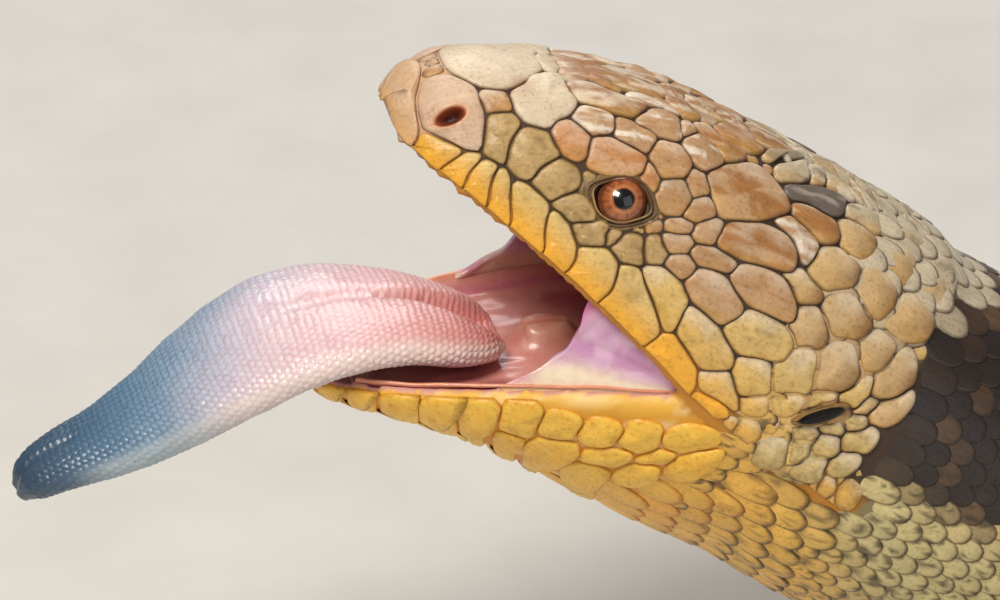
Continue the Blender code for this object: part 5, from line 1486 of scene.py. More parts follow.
legCoat, footCoat = Coat("legScales", scaleFinish), Coat("footScales", scaleFinish)
limbNumber = 0
for leg in ("foreleg", "hindleg"):
    for side in (-1, 1):
        for maker, coat in ((legSeeds, legCoat), (footSeeds, footCoat)):
            seeds = maker(leg, side).arrays()
            point = seeds["point"]
            shade = 1 + 0.15 * grain(point, 1.5, 96)
            tint = mix(marks["limb"], hue(92, 68, 48), 0.75 * stepUp(0.15, 0.5, grain(point, 5.0, 97)))
            under = np.clip(-unit(seeds["out"])[:, 2], 0, 1)
            seeds["tint"] = mix(tint, marks["belly"], under * 0.8) * shade[:, None]
            seeds["rim"] = np.tile(hue(70, 50, 34), (len(point), 1))
            seeds["lift"] = 0.03 * grain(point, 2.0, 98) - (0.12 if maker is footSeeds else 0.0)
            seeds["ticks"] = np.full(len(point), 0.2)
            seeds["reach"] = 1.2
            turn = np.arctan2(seeds["out"][:, 1], seeds["out"][:, 2])
            away = np.linalg.norm(point - limbLine(leg, side)[0][0][:3], axis=1)
            seeds["root"] = np.column_stack((0.03 + 0.24 * limbNumber + away / 70 * 0.2, 0.05
                                             + turn / 7 * 0.08))
            newCover.append(addScales(coat, smallMould, seeds))
        limbNumber += 1
bodyPieces += [(legCoat, smallMould, "limb_skin"), (footCoat, smallMould, "limb_skin"),
               (throatCoat, fullMould, "jaw_skin")]

# Where the rows leave bare skin, as in an armpit, scales are added one by one
coveredTree = treeOf(np.vstack((coveredPoints, *newCover)))
normals = np.array([v.normal for v in skin.data.vertices])
place, roundAt = bodyPlaceOf(skinPoints)
skinUp, jawUp = (skinPoints - jawJoint) @ skullAxes.T, (skinPoints - jawJoint) @ jawAxes.T
inHead = (skinUp[:, 0] > 1.5) & (skinPoints[:, 0] < 4) & (jawUp[:, 2] > -9.0)
for middle in (ear["point"], mirrorOf(ear["point"])):
    inHead |= np.linalg.norm(skinPoints - middle, axis=1) < ear["long"] + 0.9
roundHead = place < 34
bare = np.array([coveredTree.find(p)[2] for p in skinPoints.tolist()])
bare[roundHead] *= 1.9
bare[place > 348] = 0
bare[inHead | (skinPoints[:, 2] < 1.0)] = 0
extra = Seeds()
added = 0
while added < 1600:
    worst = int(np.argmax(bare))
    if bare[worst] < 2.3:
        break
    backs = axisBacks[np.argmin(np.linalg.norm(axisSpots - skinPoints[worst], axis=1))]
    small = 0.55 if roundHead[worst] else 1.0
    extra.rows.append((skinPoints[worst], normals[worst], backs, 1.9 * small, 2.9 * small))
    bare = np.minimum(bare, np.linalg.norm(skinPoints - skinPoints[worst], axis=1) / small)
    added += 1
if added:
    extraSeeds = dress(extra.arrays())
    extraCoat = Coat("patchScales", scaleFinish)
    addScales(extraCoat, smallMould, extraSeeds)
    bodyPieces.append((extraCoat, smallMould, "body_skin"))
print(added, "scales patched in")
for coat, _, slot in bodyPieces:
    piece = coat.build()
    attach(piece, "root")

# Skin between the scales: dark in the seams, gold at the lips, rose inside the mouth

def size(shape, key, along):
    return smooth(shape["along"], shape[key], along)


roof = (skinUp[:, 0] > 2) & (normals @ skullAxes[2] < -0.25) \
    & (np.abs(skinUp[:, 1]) < 0.93 * size(skullShape, "wide", skinUp[:, 0])) \
    & (skinUp[:, 2] > size(skullShape, "lip", skinUp[:, 0]) - 0.5) & (skinPoints[:, 0] < 2)
bed = (jawUp[:, 0] > 2) & (normals @ jawAxes[2] > 0.25) \
    & (np.abs(jawUp[:, 1]) < 0.93 * size(jawShape, "wide", jawUp[:, 0])) \
    & (jawUp[:, 2] < size(jawShape, "lip", jawUp[:, 0]) + 0.6) & (skinPoints[:, 0] < 2)
onHead = (skinUp[:, 0] > -15) & (skinPoints[:, 0] < 14) \
    & (skinUp[:, 2] > size(skullShape, "lip", skinUp[:, 0]) - 0.4)
onJaw = ~onHead & (jawUp[:, 0] > -4) & (skinPoints[:, 0] < 6)
tint = bodyHue(place, roundAt, skinPoints) * 0.42
fromLip = skinUp[:, 2] - size(skullShape, "lip", skinUp[:, 0])
headTint = mix(hue(206, 138, 44), hue(64, 44, 28), stepUp(0.4, 5.0, fromLip))
headTint = mix(headTint, hue(200, 160, 120), stepUp(41.5, 42.5, skinUp[:, 0]))
tint = np.where(onHead[:, None], headTint, tint)
jawTint = mix(hue(222, 148, 44), hue(244, 186, 62),
              stepUp(-4.0, -0.5, jawUp[:, 2] - size(jawShape, "lip", jawUp[:, 0])))
jawTint = mix(jawTint, hue(112, 84, 42), stepUp(-3, 6, place))
jawTint = mix(jawTint, hue(246, 214, 150), 0.7 * stepUp(-0.1, 0.5,
                                                        grain(skinPoints * (0.5, 1, 1.6), 1.6, 100)))
tint = np.where(onJaw[:, None], jawTint * (1 + 0.08 * grain(skinPoints, 2.0, 99))[:, None], tint)
tint = np.where((roof | bed)[:, None], hue(206, 148, 142), tint)
paint(skin.data, tint)


def pushIn(piece, grow, deep):  # the skin sinks behind a hole
    for side in (1, -1):
        axes = piece["axes"] if side > 0 else mirrorOf(piece["axes"])
        middle = piece["point"] if side > 0 else mirrorOf(piece["point"])
        away = (movedPoints - middle) @ axes.T
        share = np.hypot(away[:, 0] / (piece["long"] * grow), away[:, 1] / (piece["high"] * grow))
        near = (share < 1.3) & (np.abs(away[:, 2]) < 4)
        movedPoints[near] -= np.outer((1 - stepUp(0.7, 1.3, share[near])) * deep, axes[2])


movedPoints = skinPoints.copy()
pushIn(nostril, 1.15, 3.2)
pushIn(ear, 1.25, 3.4)
pushIn({**eye, "long": 2.0, "high": 1.8}, 1.0, 2.4)
movedPoints[:, 2] = np.maximum(movedPoints[:, 2], 0.0)
skin.data.vertices.foreach_set("co", ((movedPoints + modelShift) * mm).ravel())
skin.data.update()
skinFinish, tree, shader, node = nodeKit("skinFinish")
tintNode = node("Attribute")
tintNode.attribute_name = "Tint"
spot = node("TexCoord").outputs["Object"]
fine = node("TexNoise", Vector=spot, Scale=1800.0, Detail=4.0)
tree.links.new(tintNode.outputs["Color"], shader.inputs["Base Color"])
bump = node("Bump", Strength=0.4, Distance=0.0002, Height=fine.outputs["Fac"])
tree.links.new(bump.outputs["Normal"], shader.inputs["Normal"])
rough = node("MapRange", i0=fine.outputs["Fac"], i1=0.3, i2=0.7, i3=0.5, i4=0.7)
tree.links.new(rough.outputs["Result"], shader.inputs["Roughness"])
skin.data.materials.clear()
skin.data.materials.append(skinFinish)
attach(skin, "root")
print("skin coloured")


def gridPiece(name, points, tint, material, closed=False):  # a sheet or tube from rows of points
    rows, around = points.shape[:2]
    faces = gridFaces(rows, around, closed)
    if closed:
        faces += [tuple(range(around))[::-1], tuple(range((rows - 1) * around, rows * around))]
    obj = meshOf(name, points.reshape(-1, 3), faces)
    paint(obj.data, tint)
    obj.data.materials.append(material)
    return obj


def wetFinish(name, settings):  # moist flesh: the tint, fine veins and a clear gloss
    material, tree, shader, node = nodeKit(name)
    tint = node("Attribute")
    tint.attribute_name = "Tint"
    spot = node("TexCoord").outputs["Object"]
    fine = node("TexNoise", Vector=spot, Scale=settings["scale"], Detail=4.0, Roughness=0.6)
    share = node("MapRange", i0=fine.outputs["Fac"], i1=0.42, i2=0.68, i3=0.0, i4=settings["mottle"])
    blend = node("Mix")
    blend.data_type = "RGBA"
    blend.blend_type = "MULTIPLY"
    tree.links.new(share.outputs["Result"], blend.inputs[0])
    tree.links.new(tint.outputs["Color"], blend.inputs[6])
    blend.inputs[7].default_value = (*settings["mottleHue"], 1)
    tree.links.new(blend.outputs[2], shader.inputs["Base Color"])
    rough = node("MapRange", i0=fine.outputs["Fac"], i1=0.3, i2=0.7, i3=settings["rough"][0],
                 i4=settings["rough"][1])
    tree.links.new(rough.outputs["Result"], shader.inputs["Roughness"])
    bump = node("Bump", Strength=settings["bump"], Distance=0.0001, Height=fine.outputs["Fac"])
    tree.links.new(bump.outputs["Normal"], shader.inputs["Normal"])
    shader.inputs["Coat Weight"].default_value = settings["coat"]
    shader.inputs["Coat Roughness"].default_value = 0.12
    shader.inputs["Subsurface Weight"].default_value = settings["glow"]
    shader.inputs["Subsurface Radius"].default_value = (1.0, 0.45, 0.3)
    shader.inputs["Subsurface Scale"].default_value = 0.0012
    return material


def solid(obj, thick, offset):  # a sheet is given its thickness, away from where it is seen
    bpy.ops.object.select_all(action="DESELECT")
    obj.select_set(True)
    bpy.context.view_layer.objects.active = obj
    wall = obj.modifiers.new("wall", "SOLIDIFY")
    wall.thickness, wall.offset = thick * mm, offset
    bpy.ops.object.modifier_apply(modifier="wall")
    return faceOut(obj)


def settle(piece, obj):
    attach(obj, "root")
    print(piece, "done")
    return obj


# Eyes: an iris of fine spokes round a black pupil, and the two lids with their folds
iris = {"radius": 2.15, "pupil": 1.02, "rings": 40, "around": 96}
lids = {"rings": 26, "around": 120, "outer": 1.55}


def makeEye(side, name):
    axes = eye["axes"] if side > 0 else mirrorOf(eye["axes"])
    centre = eye["centre"] if side > 0 else mirrorOf(eye["centre"])
    polar = np.concatenate((np.linspace(0.004, 0.95, iris["rings"]), np.linspace(1.0, math.pi - 0.01, 16)))
    turn = np.linspace(0, 2 * math.pi, iris["around"], endpoint=False)
    ring = eye["radius"] * np.sin(polar)[:, None]
    away = np.stack((ring * np.cos(turn), ring * np.sin(turn),
                     np.repeat(eye["radius"] * np.cos(polar)[:, None],
                                                                         len(turn), 1)), -1)
    flat = ring + 0 * turn
    bulge = 0.16 * np.exp(-(flat / 1.3) ** 2) * (np.cos(polar)[:, None] > 0)
    points = centre + (away + away / eye["radius"] * bulge[..., None]) @ axes
    spokes = grain(np.stack((np.cos(turn) * 9 + flat * 0.3, np.sin(turn) * 9 + 0 * flat, flat * 0.9), -1),
                   1.0, 101)
    colour = mix(hue(176, 98, 48), hue(140, 66, 26), stepUp(-0.3, 0.6, spokes))
    colour = mix(colour, hue(206, 138, 84), 0.6 * np.exp(-((flat - 1.28) / 0.16) ** 2))
    colour = mix(colour, hue(84, 38, 18), 0.85 * np.exp(-((flat - iris["radius"]) / 0.20) ** 2))
    colour = mix(colour, hue(44, 22, 12), stepUp(iris["radius"] + 0.05, iris["radius"] + 0.35, flat))
    colour = mix(colour, hue(6, 5, 5), 1 - stepUp(iris["pupil"] - 0.05, iris["pupil"] + 0.05, flat))
    return gridPiece(name, points, colour, eyeFinish, closed=True)


eyeFinish, tree, shader, node = nodeKit("eyeFinish")
tintNode = node("Attribute")
tintNode.attribute_name = "Tint"
fine = node("TexNoise", Vector=node("TexCoord").outputs["Object"], Scale=5200.0, Detail=2.0)
shade = node("MapRange", i0=fine.outputs["Fac"], i1=0.35, i2=0.7, i3=1.0, i4=0.78)
blend = node("VectorMath", i0=tintNode.outputs["Color"])
blend.operation = "SCALE"
tree.links.new(shade.outputs["Result"], blend.inputs["Scale"])
tree.links.new(blend.outputs["Vector"], shader.inputs["Base Color"])
shader.inputs["Roughness"].default_value = 0.22
shader.inputs["Coat Weight"].default_value = 1.0
shader.inputs["Coat Roughness"].default_value = 0.02
shader.inputs["IOR"].default_value = 1.38


def makeLids(side):
    turn = np.linspace(0, 2 * math.pi, lids["around"], endpoint=False)
    share = np.linspace(0, 1, lids["rings"])
    grow = 0.93 + share * (lids["outer"] - 0.93)
    pointed = 1 + 0.20 * np.cos(turn) ** 8  # towards the corners
    # the corners slope down to the rear, as in the photo
    lean = math.radians(-12.0)
    a = np.outer(grow, eye["long"] * 1.02 * np.cos(turn) * pointed)
    b = np.outer(grow, eye["high"] * 1.0 * np.sin(turn))
    b = b * np.where(b > 0, 1.08, 0.98)
    along = eye["along"] + a * math.cos(lean) - b * math.sin(lean)
    roundAt = eye["round"] + a * math.sin(lean) + b * math.cos(lean)
    below = stepUp(-0.35, 0.35, np.sin(turn))[None]
    s = share[:, None]
    rim = 0.62 * np.exp(-((s - 0.10) / 0.085) ** 2)
    folds = below * (0.26 * np.exp(-((s - 0.40) / 0.07) ** 2) + 0.20 * np.exp(-((s - 0.66) / 0.07) ** 2))
    upper = (1 - below) * (0.34 * np.exp(-((s - 0.42) / 0.16) ** 2))
    tall = -0.10 + rim + folds + upper - 0.35 * stepUp(0.75, 1.0, s) - 0.9 * (1 - stepUp(0.0, 0.07, s))
    tall = tall + 0.12 * (1 - s) + 0.05 * grain(np.stack((along, roundAt, 0 * along), -1), 0.55, 111)
    points = headSheet.at(along, roundAt, tall)[0]
    granular = 0.5 + 0.5 * grain(points, 0.5, 112)
    colour = mix(hue(150, 122, 76), hue(104, 80, 46), granular)
    colour = mix(colour, hue(196, 160, 102), (rim / 0.62) ** 2 * (0.35 + 0.6 * below))
    colour = mix(colour, hue(60, 38, 20), (1 - stepUp(0.02, 0.10, s)) + 0 * below)
    colour = mix(colour, hue(66, 46, 26), 0.75 * np.exp(-((s - 0.25) / 0.05) ** 2) + 0 * below)
    colour = mix(colour, hue(74, 54, 30), 0.7 * np.exp(-((s - 0.53) / 0.05) ** 2) * below)
    colour = mix(colour, hue(84, 50, 24), (1 - below) * 0.75 * (1 - stepUp(0.2, 0.6, s)))
    if side < 0:
        points = mirrorOf(points)
    # a floor under the rim closes the piece
    under = points[::-1] - (eye["axes"][2] if side > 0 else mirrorOf(eye["axes"])[2]) * 1.1
    points = np.concatenate((points, under[[0, -1]]))
    colour = np.concatenate((colour, colour[[-1, 0]]))
    rows, around = points.shape[:2]
    faces = gridFaces(rows, around)
    faces += [((rows - 1) * around + j, (rows - 1) * around + (j + 1) % around, (j + 1) % around, j)
              for j in range(around)]
    obj = meshOf("lids", points.reshape(-1, 3), faces)
    faceOut(obj)
    paint(obj.data, colour)
    obj.data.materials.append(lidFinish)
    return obj


lidFinish = wetFinish("lidFinish", {"scale": 3200.0, "mottle": 0.5, "mottleHue": (0.5, 0.38, 0.22),
                                    "rough": (0.45, 0.6), "bump": 0.6, "coat": 0.1, "glow": 0.0})
for side, name in ((1, "left"), (-1, "right")):
    ball = faceOut(makeEye(side, "eyeball_" + name))
    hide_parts("eye_" + name)
    settle("eye " + name, ball)
    lid = makeLids(side)
    lid.name = "lids_" + name
    settle("lids " + name, lid)

# Ears: a dark slit that goes in under a rim of small scales; its dark is painted shade
earShape = {"around": 40, "rings": ((1.42, -0.4), (1.30, 0.42), (1.16, 0.74), (1.0, 0.66), (0.92, 0.50),
                                    (0.8, 0.44), (0.5, 0.41), (0.02, 0.40)), "lean": 42.0,
            "thick": 0.3, "bend": 0.02}
earFinish = wetFinish("earFinish", {"scale": 2600.0, "mottle": 0.5, "mottleHue": (0.4, 0.3, 0.2),
                                    "rough": (0.75, 0.9), "bump": 0.6, "coat": 0.0, "glow": 0.0})
for side, name in ((1, "left"), (-1, "right")):
    turn = np.linspace(0, 2 * math.pi, earShape["around"], endpoint=False)
    lean = math.radians(earShape["lean"])
    points, colour = [], []
    for grow, tall in earShape["rings"]:
        a, b = ear["long"] * grow * np.cos(turn), ear["high"] * grow * np.sin(turn)
        a, b = a * math.cos(lean) - b * math.sin(lean), a * math.sin(lean) + b * math.cos(lean)
        spot = ear["point"] + np.outer(a, ear["axes"][0]) + np.outer(b, ear["axes"][1])
        points.append(spot + ear["axes"][2] * (tall - earShape["bend"] * (a**2 + b**2)[:, None]))
        # painted shade: inside its rim the cup is near black, for the shadowed ear opening
        tone = mix(hue(16, 10, 6), hue(150, 116, 66), float(stepUp(0.98, 1.2, grow)))
        colour.append(np.tile(tone, (len(turn), 1)))
    points = np.array(points) if side > 0 else mirrorOf(np.array(points))
    cup = gridPiece("ear_" + name, points, np.array(colour), earFinish)
    settle("ear " + name, solid(cup, earShape["thick"], -float(side)))

# Tongue: a fleshy strap with a net of small warts, blue at the tip and rose at the root
tongueShape = {
    "forward": (26.0, 27.0, 29.0, 32.0, 37.0, 42.5, 47.5, 52.5, 57.0, 62.0, 67.5, 72.0, 74.6, 75.8),
    "above": (-1.6, -1.5, -0.9, 0.1, 1.4, 1.8, 1.0, -1.2, -3.9, -7.2, -10.0, -11.7, -13.2, -14.6),
    "wide": (4.4, 5.6, 7.2, 8.6, 9.5, 9.9, 9.6, 9.0, 8.0, 6.3, 4.8, 3.8, 2.9, 1.5),
    "thick": (0.8, 1.6, 2.1, 2.5, 2.7, 2.8, 2.9, 3.0, 3.0, 2.8, 2.4, 2.1, 1.7, 0.9),
    "rows": 330, "around": 190, "net": 0.80, "wart": 0.13,
    "notch": {"to": 39.0, "from": 26.0, "wide": 3.6, "deep": 0.93},
    "rollAt": (26, 38, 50, 60), "rolls": (-5.0, -2.0, 8.0, 10.0),
    "groove": {"deep": 0.5, "wide": 1.0, "ends": (44, 52)},
    "tipFold": {"deep": 0.5, "wide": 0.7, "starts": (66, 72)}, "squareness": 0.85,
}
tongueColours = (  # millimetres forward of the joint, and the colour there
    (26.0, hue(214, 140, 128)), (31.0, hue(232, 172, 164)), (36.0, hue(236, 190, 186)),
    (41.0, hue(234, 200, 200)), (47.0, hue(226, 208, 214)), (51.0, hue(206, 204, 216)),
    (55.0, hue(170, 186, 204)), (59.0, hue(132, 160, 184)), (64.0, hue(100, 134, 160)),
    (69.0, hue(76, 108, 134)), (73.0, hue(56, 80, 102)), (75.8, hue(38, 52, 68)))


def netOf(along, across, pitch):  # 0 in the middle of a wart, 1 in the seams between
    row = np.round(along / (pitch * 0.87))
    best = np.full(np.shape(along), 9.0)
    second = np.full(np.shape(along), 9.0)
    for step in (-1, 0, 1):
        line = row + step
        shift = (line % 2) * 0.5
        cell = np.round(across / pitch - shift)
        for beside in (-1, 0, 1):
            number = cell + beside
            code = np.stack((line * 1.37, number * 2.11, 0 * line), -1)
            wobble = 0.24 * pitch
            x = line * pitch * 0.87 + wobble * grain(code, 1.0, 121)
            y = (number + shift) * pitch + wobble * grain(code, 1.0, 122)
            apart = np.hypot(along - x, across - y)
            second = np.where(apart < best, best, np.minimum(second, apart))
            best = np.minimum(best, apart)
    return 1 - np.clip((second - best) / (pitch * 0.55), 0, 1)


def makeTongue():
    shape = tongueShape
    rows, around = shape["rows"], shape["around"]
    forward = np.linspace(shape["forward"][0], shape["forward"][-1], rows)
    turn = np.linspace(0, 2 * math.pi, around, endpoint=False)
    size = {key: smooth(shape["forward"], shape[key], forward) for key in ("above", "wide", "thick")}
    line = np.column_stack((-forward, 0 * forward, size["above"]))
    way = unit(np.gradient(line, axis=0))
    roll = np.radians(smooth(shape["rollAt"], shape["rolls"], forward))[:, None]
    up = np.column_stack((way[:, 2], 0 * forward, -way[:, 0]))
    left = np.array((0.0, -1.0, 0.0))
    lefts, ups = left * np.cos(roll) - up * np.sin(roll), up * np.cos(roll) + left * np.sin(roll)
    sine, cosine = np.sin(turn), np.cos(turn)
    across = np.sign(sine) * np.abs(sine) ** shape["squareness"] * size["wide"][:, None]
    rise = np.sign(cosine) * np.abs(cosine) ** shape["squareness"] * size["thick"][:, None]
    notch = shape["notch"]
    wide = notch["wide"] * np.clip((notch["to"] - forward) / (notch["to"] - notch["from"]), 0, 1.2)
    cut = np.exp(-(across / np.maximum(wide[:, None], 0.05)) ** 4) * (forward < notch["to"])[:, None]
    grooveShape, foldShape = shape["groove"], shape["tipFold"]
    groove = grooveShape["deep"] * np.exp(-(across / grooveShape["wide"]) ** 2) \
        * (1 - stepUp(*grooveShape["ends"], forward))[:, None]
    tipFold = foldShape["deep"] * np.exp(-(across / foldShape["wide"]) ** 2) \
        * stepUp(*foldShape["starts"], forward)[:, None]
    folded = (groove * (1 - cut) + tipFold) * (rise > 0.4)
    rise = np.where(rise > 0, rise * (1 - notch["deep"] * cut) - folded, rise)
    run = np.concatenate(([0.0], np.cumsum(np.linalg.norm(np.diff(line, axis=0), axis=1))))[:, None]
    points = line[:, None] + across[..., None] * lefts[:, None] + rise[..., None] * ups[:, None] + jawJoint
    girthStep = np.linalg.norm(np.roll(points, -1, 1) - points, axis=2)
    lap = np.cumsum(girthStep, axis=1) - girthStep
    lap = lap - lap[:, around // 2: around // 2 + 1]  # measured from the middle of the underside
    net = netOf(run + 0 * lap, lap, shape["net"])
    normal = unit(np.cross(np.gradient(points, axis=0), np.gradient(points, axis=1)))
    core = points.mean(axis=1, keepdims=True)
    normal *= np.where(np.median(np.sum(normal * (points - core), -1)) < 0, -1.0, 1.0)
    fade = stepUp(0, 1.2, forward - forward[0])[:, None] * stepUp(0, 1.0, forward[-1] - forward)[:, None]
    big = 0.10 * grain(points, 3.2, 123) + 0.06 * grain(points, 1.4, 124)
    wart = shape["wart"] * (1 - net**1.5) * (1 + 0.5 * (1 - stepUp(30, 44, forward)))[:, None]
    points = points + normal * ((wart + big - 0.05) * fade)[..., None]
    at = np.array([place for place, _ in tongueColours])
    tones = np.array([tone for _, tone in tongueColours])
    warp = forward[:, None] + 1.6 * grain(points, 5.0, 125) - 0.35 * across
    colour = np.stack([np.interp(warp, at, tones[:, k]) for k in range(3)], -1)
    blue = stepUp(50, 60, warp)
    seam = mix(hue(206, 120, 124), hue(44, 76, 104), blue)
    colour = mix(colour, seam, np.clip(net, 0, 1) ** 2 * (0.48 + 0.20 * blue
                                                          + 0.15 * (1 - stepUp(32, 46, warp))))
    edge = np.exp(-((np.abs(across) / size["wide"][:, None] - 1.0) / 0.10) ** 2)
    pale = mix(hue(240, 222, 210), hue(188, 200, 204), blue)
    colour = mix(colour, pale, edge * 0.7 * (1 - stepUp(66, 72, forward))[:, None])
    colour = mix(colour, hue(214, 122, 112), 0.8 * cut)
    colour = mix(colour, hue(176, 170, 178), (rise < -0.5) * 0.35 * (1 - blue))
    colour *= (1 + 0.06 * grain(points, 0.8, 126))[..., None]
    return gridPiece("tongueFlesh", points, colour, tongueFinish, closed=True)


tongueFinish = wetFinish("tongueFinish", {"scale": 4200.0, "mottle": 0.35, "mottleHue": (0.62, 0.55, 0.60),
                                          "rough": (0.30, 0.48), "bump": 0.55, "coat": 0.45, "glow": 0.12})
tongue = faceOut(makeTongue())
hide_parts("tongue")
settle("tongue", tongue)

# Mouth: its roof and floor, laid just over the skin, with folds, the windpipe's mound and its slit
mouthFinish = wetFinish("mouthFinish", {"scale": 900.0, "mottle": 0.35, "mottleHue": (0.80, 0.52, 0.52),
                                        "rough": (0.30, 0.46), "bump": 0.5, "coat": 0.45, "glow": 0.12})
mouthReach = {"roof": (4.0, 41.0), "floor": (4.0, 42.0), "thick": 0.3, "ridge": 0.45, "fold": 0.30}
mound = {"along": 21.0, "long": 4.6, "wide": 3.2, "tall": 2.6, "slitAside": 0.3, "slitDeep": 0.8,
         "slitLip": 0.28}


def mouthSheet(shape, sign, first, last, rows=150, around=90):
    along = np.linspace(first, last, rows)
    share = np.linspace(-0.90, 0.90, around) * (0.95 if sign > 0 else 1.0)
    wide = smooth(shape["along"], shape["wide"], along)[:, None]
    lip, far = (smooth(shape["along"], shape[key], along)[:, None] for key in ("lip", "far"))
    depth = np.minimum(mouthShape["palateRise" if sign > 0 else "floorDrop"], 0.5 * np.abs(far - lip))
    drop = smooth((0.0, 0.4, 0.75, 0.86, 0.90), (1.0, 0.97, 0.7, 0.25, 0.08), np.abs(share))[None]
    return along[:, None] + 0 * share, share * wide, lip + sign * drop * depth - sign * 0.28, share + 0 * wide


def makeRoof():
    along, side, high, share = mouthSheet(skullShape, 1, *mouthReach["roof"])
    centre = np.exp(-(side / 1.1) ** 2)
    high = high + 0.6 * centre * stepUp(10, 16, along) * (1 - stepUp(32, 36, along))  # the slit in the palate
    ridge = np.exp(-((np.abs(side) - 3.4) / 1.1) ** 2) + 0.8 * np.exp(-((np.abs(side) - 7.2) / 0.9) ** 2)
    high = high - mouthReach["ridge"] * ridge * stepUp(8, 14, along) * (1 - stepUp(36, 41, along))
    high = high - 0.12 * grain(np.stack((along * 0.4, side * 1.4, 0 * side), -1), 1.6, 131)
    points = np.stack((along, side, high), -1) @ skullAxes + jawJoint
    # painted shade: the roof darkens towards the back, deep in the mouth
    colour = mix(hue(204, 158, 160), hue(128, 88, 98), 1 - stepUp(8, 26, along))
    rim = np.exp(-((np.abs(share) - 0.72) / 0.12) ** 2) * stepUp(12, 18, along)
    colour = mix(colour, hue(228, 128, 96), 0.7 * rim)
    colour = mix(colour, hue(236, 206, 202), 0.7 * stepUp(0.80, 0.93, np.abs(share)))
    colour = mix(colour, hue(150, 96, 104), 0.5 * centre)
    colour *= (1 + 0.08 * grain(points, 2.0, 132))[..., None]
    return gridPiece("mouthRoof", points, colour, mouthFinish)


def makeFloor():
    along, side, high, share = mouthSheet(jawShape, -1, *mouthReach["floor"])
    apart = np.hypot((along - mound["along"]) / mound["long"], side / mound["wide"])
    bump = np.exp(-(apart * 1.25) ** 3)
    high = high + mound["tall"] * bump
    ridge = np.exp(-((apart - 0.55) / 0.14) ** 2) * (along < mound["along"] + 2)
    high = high + mouthReach["ridge"] * ridge
    aside = side - mound["slitAside"]
    slit = np.exp(-(aside / 0.22) ** 2) * stepUp(17.6, 18.6, along) * (1 - stepUp(22.5, 24, along))
    slitLip = np.exp(-((np.abs(aside) - 0.6) / 0.28) ** 2)
    high = high - mound["slitDeep"] * slit \
        + mound["slitLip"] * slitLip * stepUp(17.5, 19, along) * (1 - stepUp(22, 24, along))
    folds = np.exp(-((np.abs(share) - 0.80) / 0.035) ** 2) \
        + 0.7 * np.exp(-((np.abs(share) - 0.68) / 0.035) ** 2)
    high = high + mouthReach["fold"] * folds * stepUp(6, 12, along)
    high = high + 0.15 * grain(np.stack((along * 0.5, side * 1.3, 0 * side), -1), 1.5, 141)
    points = np.stack((along, side, high), -1) @ jawAxes + jawJoint
    colour = mix(hue(216, 148, 136), hue(190, 112, 110), stepUp(-0.2, 0.6, grain(points, 3.0, 142)))
    # painted shade: the floor darkens towards the back, deep in the mouth
    colour = mix(colour, hue(140, 80, 84), (1 - stepUp(6, 17, along)) + 0 * side)
    for tone, amount in ((hue(222, 150, 122), bump), (hue(236, 190, 166), 0.5 * ridge),
                         (hue(150, 70, 62), 0.85 * slit),
                         (hue(206, 96, 142), 0.55 * np.exp(-((np.abs(share) - 0.74) / 0.04) ** 2)),
                         (hue(236, 160, 120), stepUp(0.82, 0.90, np.abs(share)) * 0.8),
                         (hue(240, 176, 70), stepUp(0.91, 0.95, np.abs(share)) * 0.8)):
        colour = mix(colour, tone, amount)
    return gridPiece("mouthFloor", points, colour, mouthFinish)


settle("roof of the mouth", solid(makeRoof(), mouthReach["thick"], 0.0))
settle("floor of the mouth", solid(makeFloor(), mouthReach["thick"], 0.0))

# Webs of skin between the lips, in front of the corners of the mouth
web = {"from": 9.5, "upper": 21.0, "lower": 29.0, "sag": 1.6, "hollow": 0.2, "thick": 0.7, "rows": 60,
       "columns": 60}
webFinish = wetFinish("webFinish", {"scale": 1100.0, "mottle": 0.4, "mottleHue": (0.86, 0.62, 0.74),
                                    "rough": (0.24, 0.42), "bump": 0.5, "coat": 0.6, "glow": 0.15})


def makeWeb(side):
    t = np.linspace(0, 1, web["rows"])[:, None] + np.zeros((1, web["columns"]))
    s = np.linspace(0, 1, web["columns"])[None] * (1 - web["hollow"] * np.sin(math.pi * t))
    places = []
    for shape, axes, reach, shift in ((skullShape, skullAxes, web["upper"], 0.8),
                                      (jawShape, jawAxes, web["lower"], -0.8)):
        at = web["from"] + s * (reach - web["from"])
        wide = smooth(shape["along"], shape["wide"], at)
        places.append(np.stack((at, 0.88 * wide, smooth(shape["along"], shape["lip"], at) + shift),
                               -1) @ axes + jawJoint)
    upper, lower = places
    points = upper + (lower - upper) * t[..., None]
    points[..., 1] += web["sag"] * np.sin(math.pi * t) * s
    fan = 0.16 * np.sin(22 * t + 3 * s) * s * np.sin(math.pi * t)
    crease = 0.30 * np.exp(-((s - 0.86) / 0.05) ** 2) \
        + 0.12 * grain(np.stack((t * 9, s * 4, 0 * t + 0 * s), -1), 1.0, 151)
    points[..., 1] -= (fan + crease * np.sin(math.pi * t) ** 0.5)
    rough = grain(points, 1.6, 152)
    colour = mix(hue(226, 184, 212), hue(206, 150, 190), stepUp(-0.3, 0.6, rough))
    colour = mix(colour, hue(244, 226, 196), stepUp(0.50, 0.80, t + 0.06 * rough))
    colour = mix(colour, hue(242, 200, 120), 0.8 * stepUp(0.90, 1.0, t + 0 * s))
    colour = mix(colour, hue(206, 88, 150), 0.8 * stepUp(0.80, 0.95, s + 0 * t) * (1 - stepUp(0.86, 0.98, t)))
    colour = mix(colour, hue(196, 92, 132), 0.6 * (1 - stepUp(0.0, 0.10, t + 0 * s)))
    return gridPiece("web", points * (1.0, -side, 1.0), colour, webFinish)


for side, name in ((1, "left"), (-1, "right")):
    piece = solid(makeWeb(side), web["thick"], 0.0)
    piece.name = "web_" + name
    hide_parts("cheek_" + name)
    settle("web " + name, piece)

